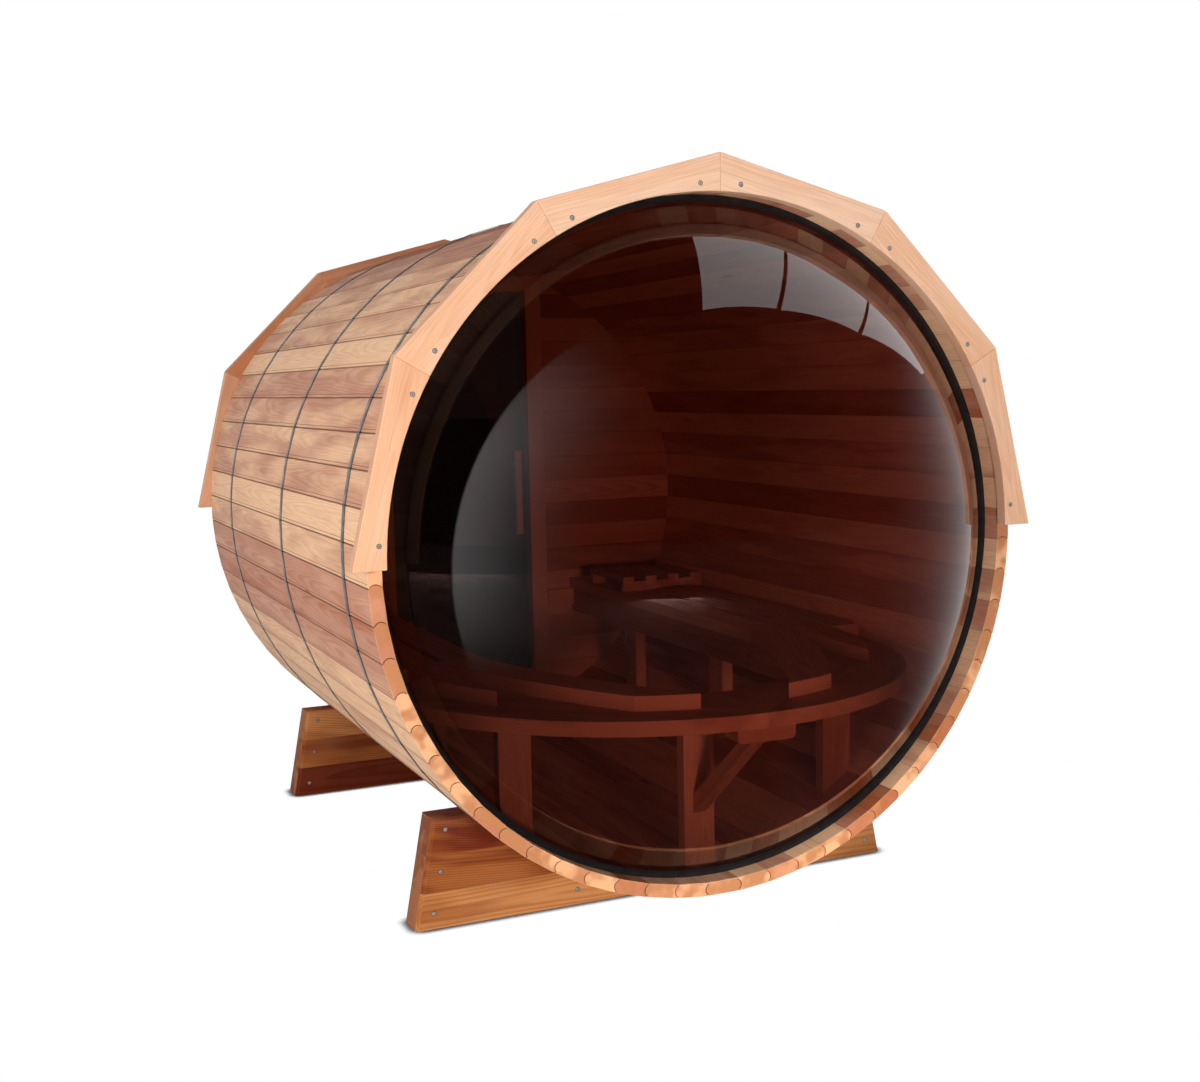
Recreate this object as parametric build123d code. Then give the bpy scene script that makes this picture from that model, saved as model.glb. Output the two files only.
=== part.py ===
"""Barrel sauna with a bubble window, resting on two timber cradles.

Units are millimetres. X runs across the barrel, Y along its axis with the bubble window
towards -Y and the door towards +Y, and Z is up. The origin is on the ground at the middle
of the overall width and length.
"""
import os
from math import asin, cos, degrees, radians, sin, sqrt

from build123d import *

# Barrel staves
STAVE_COUNT = 64
STAVES_PER_GROUP = 4
OUTER_RADIUS = 912.0
STAVE_THICKNESS = 35.0
STAVE_LENGTH = 2134.0
STAVE_JOINT_GAP = 0.4
JOINT_SHOULDER = 3.5
JOINT_BULGE = 8.5
STAVE_EDGE_EASE = 2.0
CROZE_DEPTH = 8.0
SEAT_CLEARANCE = 0.3

# Trim boards over both stave ends
TRIM_BOARD_COUNT = 6
TRIM_OVERHANG = 54.0
TRIM_LIP = 4.0
TRIM_THICKNESS = 35.0
TRIM_FOOT_OVERHANG = 41.0
TRIM_MITRE_GAP = 0.4

# Steel bands
BAND_WIDTH = 22.0
BAND_THICKNESS = 1.2
WINDOW_END_BAND_INSET = 220.0
MIDDLE_BAND_DISTANCE = 935.0
DOOR_END_BAND_INSET = 404.0
LUG_ANGLE = 318.0
LUG_LENGTH = 16.0
LUG_HEIGHT = 24.0
LUG_SPACING = 40.0
LUG_BOLT_RADIUS = 4.0
LUG_BOLT_OVERHANG = 14.0
LUG_BOLT_HEIGHT = 13.0

# Cradles
CRADLE_COURSES = 3
CRADLE_COURSE_HEIGHT = 98.0
CRADLE_DEPTH = 98.0
CRADLE_FOOT_WIDTH = 1450.0
CRADLE_TOP_WIDTH = 1338.0
CRADLE_CHAMFER = 9.0
WINDOW_END_CRADLE_INSET = 355.0
DOOR_END_CRADLE_INSET = 231.0
SADDLE_BITE = 1.0

# Bubble window
WINDOW_SETBACK = 75.0
WINDOW_FLANGE_WIDTH = 38.0
WINDOW_BULGE = 450.0
WINDOW_THICKNESS = 8.0
WINDOW_FLANGE_SEAT = 7.0

# End wall
WALL_SETBACK = 60.0
WALL_THICKNESS = 35.0
WALL_BOARD_HEIGHT = 89.0
WALL_GROOVE = 3.0

# Doorway and glass door
DOORWAY_WIDTH = 570.0
DOORWAY_HEADROOM = 96.0
POST_WIDTH = 50.0
POST_DEPTH = 70.0
HEAD_HEIGHT = 45.0
DOOR_CLEARANCE = 5.0
STOP_DEPTH = 12.0
GLASS_THICKNESS = 8.0
GLASS_INSET = 2.0
HINGE_HEIGHTS = (-560.0, 560.0)
HINGE_OFFSET = 6.0
HINGE_STANDOFF = 8.0
HINGE_ARM_CLEARANCE = 1.0
KNUCKLE_RADIUS = 7.0
KNUCKLE_LENGTH = 22.0
KNUCKLE_GAP = 0.5
PIN_RADIUS = 3.5
PIN_CLEARANCE = 0.3
HINGE_PLATE_WIDTH = 42.0
HINGE_PLATE_HEIGHT = 68.0
HINGE_PLATE_THICKNESS = 4.0
CLAMP_SETBACK = 14.0
CLAMP_EDGE = 2.0
HANDLE_LENGTH = 320.0
HANDLE_RADIUS = 14.0
HANDLE_STANDOFF = 45.0
HANDLE_EDGE_DISTANCE = 48.0
HANDLE_STEM_RADIUS = 8.0
HANDLE_STEM_SPACING = 220.0

# Benches, with levels measured from the barrel's axis
BENCH_TOP = -345.0
BENCH_BOARD_THICKNESS = 38.0
BENCH_INNER_EDGE = 435.0
BENCH_BOARD_WIDTH = 110.0
BENCH_BOARD_GAP = 6.0
BENCH_BOARD_COUNT = 3
BENCH_CORNER_WIDTH = 125.0
BENCH_CORNER_START = 600.0
BENCH_CORNER_TIP = 124.0
BENCH_CORNER_BOW = 32.0
FRONT_BOARD_CENTRE = 535.0
FRONT_BOARD_OUTER = 775.0
FRONT_BOARD_INNER = 510.0
FRONT_STEP = 103.0
APRON_THICKNESS = 25.0
APRON_HEIGHT = 90.0
APRON_INSET = 6.0
LEG_WIDTH = 89.0
LEG_THICKNESS = 38.0
FRONT_LEG_OFFSET = 485.0
FRONT_LEG_DISTANCE = 215.0
SIDE_LEG_DISTANCE = 850.0
SIDE_LEG_WALL_GAP = 450.0
LEDGER_HEIGHT = 60.0
LEDGER_THICKNESS = 25.0
BLOCK_LENGTH = 160.0
BLOCK_WIDTH = 110.0
BLOCK_HEIGHT = 35.0
BLOCK_SETBACK = 12.0
BLOCK_CORNER_RADIUS = 14.0
POST_DISTANCE = 130.0
BRACE_SECTION = 38.0
BRACE_TOE_RATIO = 1.3
BRACE_DROP = 270.0

# Headrest
HEADREST_LENGTH = 300.0
HEADREST_EDGE_GAP = 13.0
HEADREST_STAVE_GAP = 36.8
HEADREST_WALL_GAP = 179.0
HEADREST_SLATS = 4
HEADREST_SLAT_WIDTH = 44.0
HEADREST_SLAT_THICKNESS = 18.0
HEADREST_RAIL_HEIGHT = 34.0
HEADREST_RAIL_THICKNESS = 24.0
HEADREST_WAVE = 8.0

# Sizes worked out from the ones above
HALF_STEP = 180.0 / STAVE_COUNT
OUTER_FLAT = OUTER_RADIUS * cos(radians(HALF_STEP))
INNER_FLAT = OUTER_FLAT - STAVE_THICKNESS
CABIN_RADIUS = INNER_FLAT - SEAT_CLEARANCE
TRIM_VERTEX_RADIUS = OUTER_RADIUS + TRIM_OVERHANG
TRIM_INNER_RADIUS = INNER_FLAT - TRIM_LIP
TRIM_FOOT_REACH = OUTER_RADIUS + TRIM_FOOT_OVERHANG
WINDOW_BASE_RADIUS = INNER_FLAT - WINDOW_FLANGE_WIDTH
DOORWAY_HEIGHT = 2 * (INNER_FLAT - DOORWAY_HEADROOM)
BAND_DISTANCES = (WINDOW_END_BAND_INSET, MIDDLE_BAND_DISTANCE, STAVE_LENGTH - DOOR_END_BAND_INSET)
CRADLE_DISTANCES = (WINDOW_END_CRADLE_INSET, STAVE_LENGTH - DOOR_END_CRADLE_INSET - CRADLE_DEPTH)
AXIS_HEIGHT = CRADLE_COURSE_HEIGHT + OUTER_RADIUS - SADDLE_BITE
WINDOW_REACH = WINDOW_BULGE - WINDOW_SETBACK
OVERALL_LENGTH = WINDOW_REACH + STAVE_LENGTH + TRIM_THICKNESS
STAVE_FRONT = WINDOW_REACH - OVERALL_LENGTH / 2
CROZE_RADIUS = INNER_FLAT / cos(radians(HALF_STEP)) + CROZE_DEPTH
WALL_FRONT = STAVE_LENGTH - WALL_SETBACK - WALL_THICKNESS
FRAME_FRONT = WALL_FRONT - (POST_DEPTH - WALL_THICKNESS) / 2
FRAME_BACK = FRAME_FRONT + POST_DEPTH
GLASS_BACK = FRAME_BACK - GLASS_INSET
GLASS_FRONT = GLASS_BACK - GLASS_THICKNESS
HINGE_X = -(DOORWAY_WIDTH / 2 + HINGE_OFFSET)
HINGE_Y = FRAME_BACK + HINGE_STANDOFF
BENCH_UNDERSIDE = BENCH_TOP - BENCH_BOARD_THICKNESS
FRONT_UNDERSIDE = BENCH_UNDERSIDE - BENCH_BOARD_THICKNESS
FRONT_APEX = FRONT_BOARD_CENTRE - FRONT_BOARD_OUTER
SIDE_LEG_DISTANCES = (SIDE_LEG_DISTANCE, WALL_FRONT - SIDE_LEG_WALL_GAP - LEG_WIDTH)
HEADREST_DISTANCE = WALL_FRONT - HEADREST_WALL_GAP - HEADREST_LENGTH
HEADREST_INNER = BENCH_INNER_EDGE + HEADREST_EDGE_GAP
HEADREST_OUTER = sqrt(CABIN_RADIUS ** 2 - BENCH_TOP ** 2) - HEADREST_STAVE_GAP


def along(face, distance, length):
    """Extrude a face drawn in X and Z, from a distance behind the window-end stave ends."""
    start = STAVE_FRONT + distance
    return extrude(Plane.XZ.offset(-start) * face, amount=-length)


def polar(radius, angle):
    """A point in the cross-section, from the barrel's axis."""
    return (radius * cos(radians(angle)), AXIS_HEIGHT + radius * sin(radians(angle)))


def box_between(x0, x1, y0, y1, z0, z1):
    """A box with Y from the window-end stave ends and Z from the barrel's axis."""
    size = Box(x1 - x0, y1 - y0, z1 - z0, align=(Align.MIN, Align.MIN, Align.MIN))
    return Pos(x0, STAVE_FRONT + y0, AXIS_HEIGHT + z0) * size


def barrel_cylinder(radius, distance, length):
    """A solid cylinder on the barrel's axis."""
    return along(Pos(0, AXIS_HEIGHT) * Circle(radius), distance, length)


def upright_cylinder(x, y, z, radius, height):
    """A vertical cylinder from its lower centre, placed as box_between places a box."""
    solid = Cylinder(radius, height, align=(Align.CENTER, Align.CENTER, Align.MIN))
    return Pos(x, STAVE_FRONT + y, AXIS_HEIGHT + z) * solid


def level_plate(sketch, z0, thickness):
    """A level board from an outline in X and Y, with Y from the window-end stave ends."""
    return extrude(Plane((0, STAVE_FRONT, AXIS_HEIGHT + z0)) * sketch, amount=thickness)


def mirrored(shape):
    """The same piece on the other side of the barrel."""
    return mirror(shape, about=Plane.YZ)


def write(shapes, name):
    """Write one node from a list of solids."""
    solids = [solid for shape in shapes for solid in shape.solids()]
    shape = solids[0] if len(solids) == 1 else Compound(children=solids)
    shape.label = name
    export_step(shape, f"parts/{name}.step")


def stave_side(angle, inward, bulge):
    """The edge points of one stave side, from the outer face to the inner face.

    The joint lies on the ray at the given angle. The middle point of the arc stands off
    that ray by the bulge, and the whole side is moved inward by half the joint gap.
    """
    half = radians(HALF_STEP)
    shift = inward * STAVE_JOINT_GAP / 2
    outward, sideways = (cos(radians(angle)), sin(radians(angle))), (-sin(radians(angle)), cos(radians(angle)))

    def at(flat, offset):
        radius = flat / cos(half)
        across = shift + offset
        return (radius * outward[0] + across * sideways[0],
                AXIS_HEIGHT + radius * outward[1] + across * sideways[1])

    return [at(OUTER_FLAT - STAVE_EDGE_EASE, 0), at(OUTER_FLAT - JOINT_SHOULDER, 0),
            at(OUTER_FLAT - STAVE_THICKNESS / 2, bulge),
            at(INNER_FLAT + JOINT_SHOULDER, 0), at(INNER_FLAT, 0)]


def stave_face(index):
    """The cross-section of one stave; number 0 is the starter at the bottom."""
    centre = 270 + index * 2 * HALF_STEP
    top = STAVE_COUNT // 2
    upper_bulge = -JOINT_BULGE if index == top else JOINT_BULGE
    right = 0 <= index
    low_bulge = JOINT_BULGE if index == 0 else -JOINT_BULGE
    plus = upper_bulge if right else low_bulge
    minus = low_bulge if right else upper_bulge
    first = stave_side(centre + HALF_STEP, -1, plus)
    second = stave_side(centre - HALF_STEP, 1, -minus)
    ease = STAVE_EDGE_EASE
    slide = (-sin(radians(centre)) * ease, cos(radians(centre)) * ease)
    corner = OUTER_RADIUS
    outer_first = tuple(p - s for p, s in zip(polar(corner, centre + HALF_STEP), slide))
    outer_second = tuple(p + s for p, s in zip(polar(corner, centre - HALF_STEP), slide))
    edges = [Line(outer_second, outer_first), Line(outer_first, first[0]), Line(first[0], first[1]),
             ThreePointArc(first[1], first[2], first[3]), Line(first[3], first[4]),
             Line(first[4], second[4]), Line(second[4], second[3]),
             ThreePointArc(second[3], second[2], second[1]), Line(second[1], second[0]),
             Line(second[0], outer_second)]
    return make_face(edges)


def croze_rings():
    """The two grooves round the inside, for the window's flange and for the end wall."""
    rings = []
    for distance, width in ((WINDOW_SETBACK, WINDOW_THICKNESS), (WALL_FRONT, WALL_THICKNESS)):
        start = distance - SEAT_CLEARANCE
        depth = width + 2 * SEAT_CLEARANCE
        ring = Pos(0, AXIS_HEIGHT) * (Circle(CROZE_RADIUS) - Circle(INNER_FLAT - STAVE_THICKNESS))
        rings.append(along(ring, start, depth))
    return rings


def stave_groups():
    """The staves, in groups that each take a short arc of the barrel."""
    rings = croze_rings()
    first = 1 - STAVE_COUNT // 2
    groups = []
    for start in range(first, first + STAVE_COUNT, STAVES_PER_GROUP):
        staves = []
        for index in range(start, start + STAVES_PER_GROUP):
            stave = along(stave_face(index), 0, STAVE_LENGTH)
            for ring in rings:
                stave = stave - ring
            staves.append(stave)
        groups.append(staves)
    return groups


def trim_board(number):
    """One mitred trim board's outline; the first and last end level at the axis."""
    step = 180 / TRIM_BOARD_COUNT
    low, high = number * step, (number + 1) * step
    half_gap = degrees(TRIM_MITRE_GAP / 2 / TRIM_VERTEX_RADIUS)
    low_outer = (TRIM_FOOT_REACH, AXIS_HEIGHT) if number == 0 else polar(TRIM_VERTEX_RADIUS, low + half_gap)
    last = number == TRIM_BOARD_COUNT - 1
    high_outer = (-TRIM_FOOT_REACH, AXIS_HEIGHT) if last else polar(TRIM_VERTEX_RADIUS, high - half_gap)
    low_inner, high_inner = polar(TRIM_INNER_RADIUS, low + half_gap), polar(TRIM_INNER_RADIUS, high - half_gap)
    if number == 0:
        low_inner = (TRIM_INNER_RADIUS, AXIS_HEIGHT)
    if last:
        high_inner = (-TRIM_INNER_RADIUS, AXIS_HEIGHT)
    middle = polar(TRIM_INNER_RADIUS, (low + high) / 2)
    return make_face([Line(low_inner, low_outer), Line(low_outer, high_outer),
                      Line(high_outer, high_inner), ThreePointArc(high_inner, middle, low_inner)])


def trim_boards(distance):
    """The six trim boards at one end, right half first."""
    return [along(trim_board(number), distance, TRIM_THICKNESS) for number in range(TRIM_BOARD_COUNT)]


def band(distance):
    """One steel band, with its two lugs and the bolt that draws them together."""
    seat = OUTER_RADIUS + SEAT_CLEARANCE
    outer = seat + BAND_THICKNESS
    outline = Pos(0, AXIS_HEIGHT) * Rot(0, 0, HALF_STEP) * RegularPolygon(outer, STAVE_COUNT)
    hole = Pos(0, AXIS_HEIGHT) * Rot(0, 0, HALF_STEP) * RegularPolygon(seat, STAVE_COUNT)
    start = distance - BAND_WIDTH / 2
    ring = along(outline - hole, start, BAND_WIDTH)
    flat = outer * cos(radians(HALF_STEP))
    lug_outline = Rectangle(LUG_HEIGHT, LUG_LENGTH, align=(Align.MIN, Align.CENTER))
    lugs = Sketch() + [Pos(flat - BAND_THICKNESS / 2, side * LUG_SPACING / 2) * lug_outline for side in (-1, 1)]
    lugs = along(Pos(0, AXIS_HEIGHT) * Rot(0, 0, LUG_ANGLE) * lugs, start, BAND_WIDTH)
    slot = Rectangle(LUG_HEIGHT, LUG_SPACING - LUG_LENGTH, align=(Align.MIN, Align.CENTER))
    slot = along(Pos(0, AXIS_HEIGHT) * Rot(0, 0, LUG_ANGLE) * Pos(seat - LUG_HEIGHT / 2, 0) * slot, start, BAND_WIDTH)
    bolt_length = LUG_SPACING + LUG_LENGTH + 2 * LUG_BOLT_OVERHANG
    bolt = Cylinder(LUG_BOLT_RADIUS, bolt_length)
    turn = Pos(0, STAVE_FRONT + distance, AXIS_HEIGHT) * Rot(0, -LUG_ANGLE, 0)
    bolt = turn * Pos(flat + LUG_BOLT_HEIGHT, 0, 0) * bolt
    return (ring + lugs) - slot + bolt


def cradle(distance):
    """One cradle's timbers: the sill, then the blocks each side of the saddle."""
    height = CRADLE_COURSES * CRADLE_COURSE_HEIGHT
    foot, top = CRADLE_FOOT_WIDTH / 2, CRADLE_TOP_WIDTH / 2
    outline = Polyline((-foot, 0), (foot, 0), (top, height), (-top, height), close=True)
    prism = along(make_face(outline), distance, CRADLE_DEPTH)
    rim = [edge for edge in prism.edges()
           if abs(edge.tangent_at(0.5).Y) < 0.5 and edge.center().Z > SEAT_CLEARANCE]
    prism = chamfer(rim, CRADLE_CHAMFER)
    prism = prism - barrel_cylinder(OUTER_RADIUS + SEAT_CLEARANCE, distance, CRADLE_DEPTH)
    courses = []
    for course in range(CRADLE_COURSES):
        base = course * CRADLE_COURSE_HEIGHT
        layer = box_between(-foot, foot, distance, distance + CRADLE_DEPTH, base - AXIS_HEIGHT,
                            base + CRADLE_COURSE_HEIGHT - SEAT_CLEARANCE - AXIS_HEIGHT)
        courses.append((prism & layer).solids())
    return courses[0], [solid for course in courses[1:] for solid in course]


def bubble_window():
    """The blown dome and its flat flange, as one revolved skin."""
    base, bulge, skin = WINDOW_BASE_RADIUS, WINDOW_BULGE, WINDOW_THICKNESS
    radius = (base ** 2 + bulge ** 2) / (2 * bulge)
    centre = WINDOW_SETBACK - bulge + radius
    rim = CROZE_RADIUS - CROZE_DEPTH + WINDOW_FLANGE_SEAT

    def cap_point(shell, level):
        return (sqrt(shell ** 2 - (centre - level) ** 2), STAVE_FRONT + level)

    outer_mid = (radius * sin(asin(base / radius) / 2),
                 STAVE_FRONT + centre - radius * cos(asin(base / radius) / 2))
    inner = radius - skin
    inner_foot = cap_point(inner, WINDOW_SETBACK + skin)
    inner_angle = asin(inner_foot[0] / inner) / 2
    inner_mid = (inner * sin(inner_angle), STAVE_FRONT + centre - inner * cos(inner_angle))
    front, back = STAVE_FRONT + WINDOW_SETBACK, STAVE_FRONT + WINDOW_SETBACK + skin
    edges = [ThreePointArc((0, STAVE_FRONT + centre - radius), outer_mid, (base, front)),
             Line((base, front), (rim, front)), Line((rim, front), (rim, back)),
             Line((rim, back), inner_foot),
             ThreePointArc(inner_foot, inner_mid, (0, STAVE_FRONT + centre - inner)),
             Line((0, STAVE_FRONT + centre - inner), (0, STAVE_FRONT + centre - radius))]
    dome = revolve(make_face(edges), axis=Axis.Y, revolution_arc=360)
    return Pos(0, 0, AXIS_HEIGHT) * dome


def boarded_slab():
    """The whole end wall as a disc of level boards with a vee at each joint."""
    half = CROZE_RADIUS - CROZE_DEPTH + WINDOW_FLANGE_SEAT
    disc = barrel_cylinder(half, WALL_FRONT, WALL_THICKNESS)
    front, back = STAVE_FRONT + WALL_FRONT, STAVE_FRONT + WALL_FRONT + WALL_THICKNESS
    count = int(half // WALL_BOARD_HEIGHT)
    vees = []
    for row in range(-count, count + 1):
        level = AXIS_HEIGHT + (row + 0.5) * WALL_BOARD_HEIGHT
        for face, inward in ((front, 1), (back, -1)):
            tip = (face + inward * WALL_GROOVE, level)
            vee = make_face(Polyline((face, level - WALL_GROOVE), tip, (face, level + WALL_GROOVE), close=True))
            vees.append(Pos(-half, 0, 0) * extrude(Plane.YZ * vee, amount=2 * half))
    return disc - vees


def end_wall():
    """The wall beside, over and under the doorway."""
    slab = boarded_slab()
    inside = DOORWAY_WIDTH / 2
    outside = inside + POST_WIDTH
    head = DOORWAY_HEIGHT / 2 + HEAD_HEIGHT
    reach = CROZE_RADIUS
    ends = (WALL_FRONT, WALL_FRONT + WALL_THICKNESS)
    right = slab & box_between(outside, reach, *ends, -reach, reach)
    half = inside - STOP_DEPTH - SEAT_CLEARANCE
    over = slab & box_between(-half, half, *ends, head + SEAT_CLEARANCE, reach)
    under = slab & box_between(-half, half, *ends, -reach, -head - SEAT_CLEARANCE)
    left = slab & box_between(-reach, -outside, *ends, -reach, reach)
    return left, right, over, under


def door_posts():
    """The two rebated posts, their ends cut to the round of the barrel."""
    inside = DOORWAY_WIDTH / 2
    front, back = FRAME_FRONT, FRAME_BACK
    stop = GLASS_FRONT - DOOR_CLEARANCE
    outline = Polyline((inside, back), (inside + POST_WIDTH, back), (inside + POST_WIDTH, front),
                       (inside - STOP_DEPTH, front), (inside - STOP_DEPTH, stop), (inside, stop), close=True)
    post = level_plate(make_face(outline), -CABIN_RADIUS, 2 * CABIN_RADIUS)
    post = post & barrel_cylinder(CABIN_RADIUS, front, POST_DEPTH)
    return [mirrored(post), post]


def door_rails():
    """The head over the door and the sill under it, between the posts."""
    half_height = DOORWAY_HEIGHT / 2
    half = DOORWAY_WIDTH / 2 - STOP_DEPTH - SEAT_CLEARANCE
    outer_half = DOORWAY_WIDTH / 2 - SEAT_CLEARANCE
    stop = GLASS_FRONT - DOOR_CLEARANCE
    rails = []
    for sign in (-1, 1):
        low, high = sorted((sign * half_height, sign * (half_height + HEAD_HEIGHT)))
        lip_low, lip_high = sorted((sign * (half_height - STOP_DEPTH), sign * (half_height + HEAD_HEIGHT)))
        rail = box_between(-half, half, FRAME_FRONT, stop, lip_low, lip_high)
        rail = rail + box_between(-outer_half, outer_half, stop + SEAT_CLEARANCE, FRAME_BACK, low, high)
        rail = rail + box_between(-half, half, stop, stop + SEAT_CLEARANCE, low, high)
        rails.append(rail)
    return rails


def door_glass():
    """The glass leaf."""
    half_width = DOORWAY_WIDTH / 2 - DOOR_CLEARANCE
    half_height = DOORWAY_HEIGHT / 2 - DOOR_CLEARANCE
    return box_between(-half_width, half_width, GLASS_FRONT, GLASS_BACK, -half_height, half_height)


def hinge_frame_side(level):
    """A plate on the post with two knuckles and the pin between them."""
    plate_x = HINGE_X - HINGE_PLATE_WIDTH
    half = HINGE_PLATE_HEIGHT / 2
    plate = box_between(plate_x, HINGE_X, FRAME_BACK, FRAME_BACK + HINGE_PLATE_THICKNESS, level - half, level + half)
    middle = KNUCKLE_LENGTH / 2 + KNUCKLE_GAP
    opening = box_between(HINGE_X - KNUCKLE_RADIUS - KNUCKLE_GAP, HINGE_X + KNUCKLE_RADIUS, FRAME_BACK, HINGE_Y,
                          level - middle, level + middle)
    length = half - middle
    knuckles = [upright_cylinder(HINGE_X, HINGE_Y, base, KNUCKLE_RADIUS, length)
                for base in (level - half, level + middle)]
    pin = upright_cylinder(HINGE_X, HINGE_Y, level - half, PIN_RADIUS, HINGE_PLATE_HEIGHT)
    return (plate - opening) + knuckles[0] + knuckles[1] + pin


def hinge_door_side(level):
    """The clamp on the glass, its arm and its bored knuckle, and the plate inside."""
    half_width = DOORWAY_WIDTH / 2 - DOOR_CLEARANCE
    half = HINGE_PLATE_HEIGHT / 2
    knuckle_half = KNUCKLE_LENGTH / 2
    near, far = -half_width + CLAMP_EDGE, -half_width + HINGE_PLATE_WIDTH + CLAMP_SETBACK
    outer = box_between(near, far, GLASS_BACK, GLASS_BACK + HINGE_PLATE_THICKNESS, level - half, level + half)
    arm = box_between(HINGE_X, near + CLAMP_SETBACK, FRAME_BACK + HINGE_ARM_CLEARANCE,
                      HINGE_Y, level - knuckle_half, level + knuckle_half)
    knuckle = upright_cylinder(HINGE_X, HINGE_Y, level - knuckle_half, KNUCKLE_RADIUS, KNUCKLE_LENGTH)
    bore = upright_cylinder(HINGE_X, HINGE_Y, level - half, PIN_RADIUS + PIN_CLEARANCE, 2 * half)
    inner = box_between(-half_width + CLAMP_SETBACK, far, GLASS_FRONT - HINGE_PLATE_THICKNESS, GLASS_FRONT,
                        level - half, level + half)
    return [outer + arm + knuckle - bore, inner]


def door_handles():
    """A round wooden bar on two stems, on each face of the glass."""
    x = DOORWAY_WIDTH / 2 - DOOR_CLEARANCE - HANDLE_EDGE_DISTANCE
    handles = []
    for face, sign in ((GLASS_FRONT, -1), (GLASS_BACK, 1)):
        handle = upright_cylinder(x, face + sign * HANDLE_STANDOFF, -HANDLE_LENGTH / 2, HANDLE_RADIUS, HANDLE_LENGTH)
        for level in (-HANDLE_STEM_SPACING / 2, HANDLE_STEM_SPACING / 2):
            stem = Pos(x, AXIS_HEIGHT + level) * Circle(HANDLE_STEM_RADIUS)
            start = face if sign > 0 else face - HANDLE_STANDOFF
            handle = handle + along(stem, start, HANDLE_STANDOFF)
        handles.append(handle)
    return handles


def corner_curve(offset):
    """The curved inner edge of a side bench's corner, moved outwards by an offset."""
    front = FRONT_BOARD_OUTER - FRONT_STEP
    tip_y = FRONT_BOARD_CENTRE - sqrt(front ** 2 - BENCH_CORNER_TIP ** 2)
    start, end = (BENCH_INNER_EDGE, BENCH_CORNER_START), (BENCH_CORNER_TIP, tip_y)
    middle = ((start[0] + end[0]) / 2 + BENCH_CORNER_BOW, (start[1] + end[1]) / 2 - BENCH_CORNER_BOW / 2)
    return [(x + offset, y) for x, y in (start, middle, end)]


def corner_area(offset):
    """Everything inwards of the corner curve, as far as the barrel's middle."""
    start, middle, end = corner_curve(offset)
    low, high = -FRONT_BOARD_OUTER, STAVE_LENGTH
    return make_face([ThreePointArc(start, middle, end), Line(end, (end[0], low)),
                      Line((end[0], low), (-OUTER_RADIUS, low)), Line((-OUTER_RADIUS, low), (-OUTER_RADIUS, high)),
                      Line((-OUTER_RADIUS, high), (start[0], high)), Line((start[0], high), start)])


def bench_side_top():
    """The right side bench: a curved corner board and the boards that run to the end wall."""
    step_circle = Pos(0, FRONT_BOARD_CENTRE) * Circle(FRONT_BOARD_OUTER - FRONT_STEP)
    field = step_circle + Pos(0, FRONT_BOARD_CENTRE) * Rectangle(
        2 * OUTER_RADIUS, STAVE_LENGTH, align=(Align.CENTER, Align.MIN))
    strip = (corner_area(BENCH_CORNER_WIDTH) - corner_area(0)) & field
    strip = strip & Pos(0, BENCH_CORNER_START) * Rectangle(
        2 * OUTER_RADIUS, STAVE_LENGTH, align=(Align.CENTER, Align.MAX))
    outlines = [strip]
    length = WALL_FRONT - SEAT_CLEARANCE
    for number in range(BENCH_BOARD_COUNT):
        x = BENCH_INNER_EDGE + number * (BENCH_BOARD_WIDTH + BENCH_BOARD_GAP)
        board = Pos(x, -FRONT_BOARD_OUTER) * Rectangle(
            BENCH_BOARD_WIDTH, length + FRONT_BOARD_OUTER, align=(Align.MIN, Align.MIN))
        outlines.append((board & field) - corner_area(BENCH_CORNER_WIDTH + BENCH_BOARD_GAP)
                        if number else (board & field) - ahead_of_first_board())
    cabin = barrel_cylinder(CABIN_RADIUS, -FRONT_BOARD_OUTER, STAVE_LENGTH + FRONT_BOARD_OUTER)
    return [level_plate(outline, BENCH_UNDERSIDE, BENCH_BOARD_THICKNESS) & cabin for outline in outlines]


def ahead_of_first_board():
    """The area ahead of the first side board, which the curved corner board fills."""
    return Pos(0, BENCH_CORNER_START + BENCH_BOARD_GAP) * Rectangle(
        2 * OUTER_RADIUS, 2 * STAVE_LENGTH, align=(Align.CENTER, Align.MAX))


def bench_front():
    """The curved front board in two halves, the splice block, the post and the brace."""
    centre = FRONT_BOARD_CENTRE
    ring = Pos(0, centre) * (Circle(FRONT_BOARD_OUTER) - Circle(FRONT_BOARD_INNER))
    front_half = Pos(0, centre) * Rectangle(2 * OUTER_RADIUS, OUTER_RADIUS, align=(Align.CENTER, Align.MAX))
    right_side = Pos(SEAT_CLEARANCE / 2, centre) * Rectangle(
        OUTER_RADIUS, 2 * OUTER_RADIUS, align=(Align.MIN, Align.CENTER))
    cabin = barrel_cylinder(CABIN_RADIUS, -FRONT_BOARD_OUTER, STAVE_LENGTH + FRONT_BOARD_OUTER)
    half = level_plate(ring & front_half & right_side, FRONT_UNDERSIDE,
                       BENCH_BOARD_THICKNESS - SEAT_CLEARANCE) & cabin
    return [half, mirrored(half)]


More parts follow.
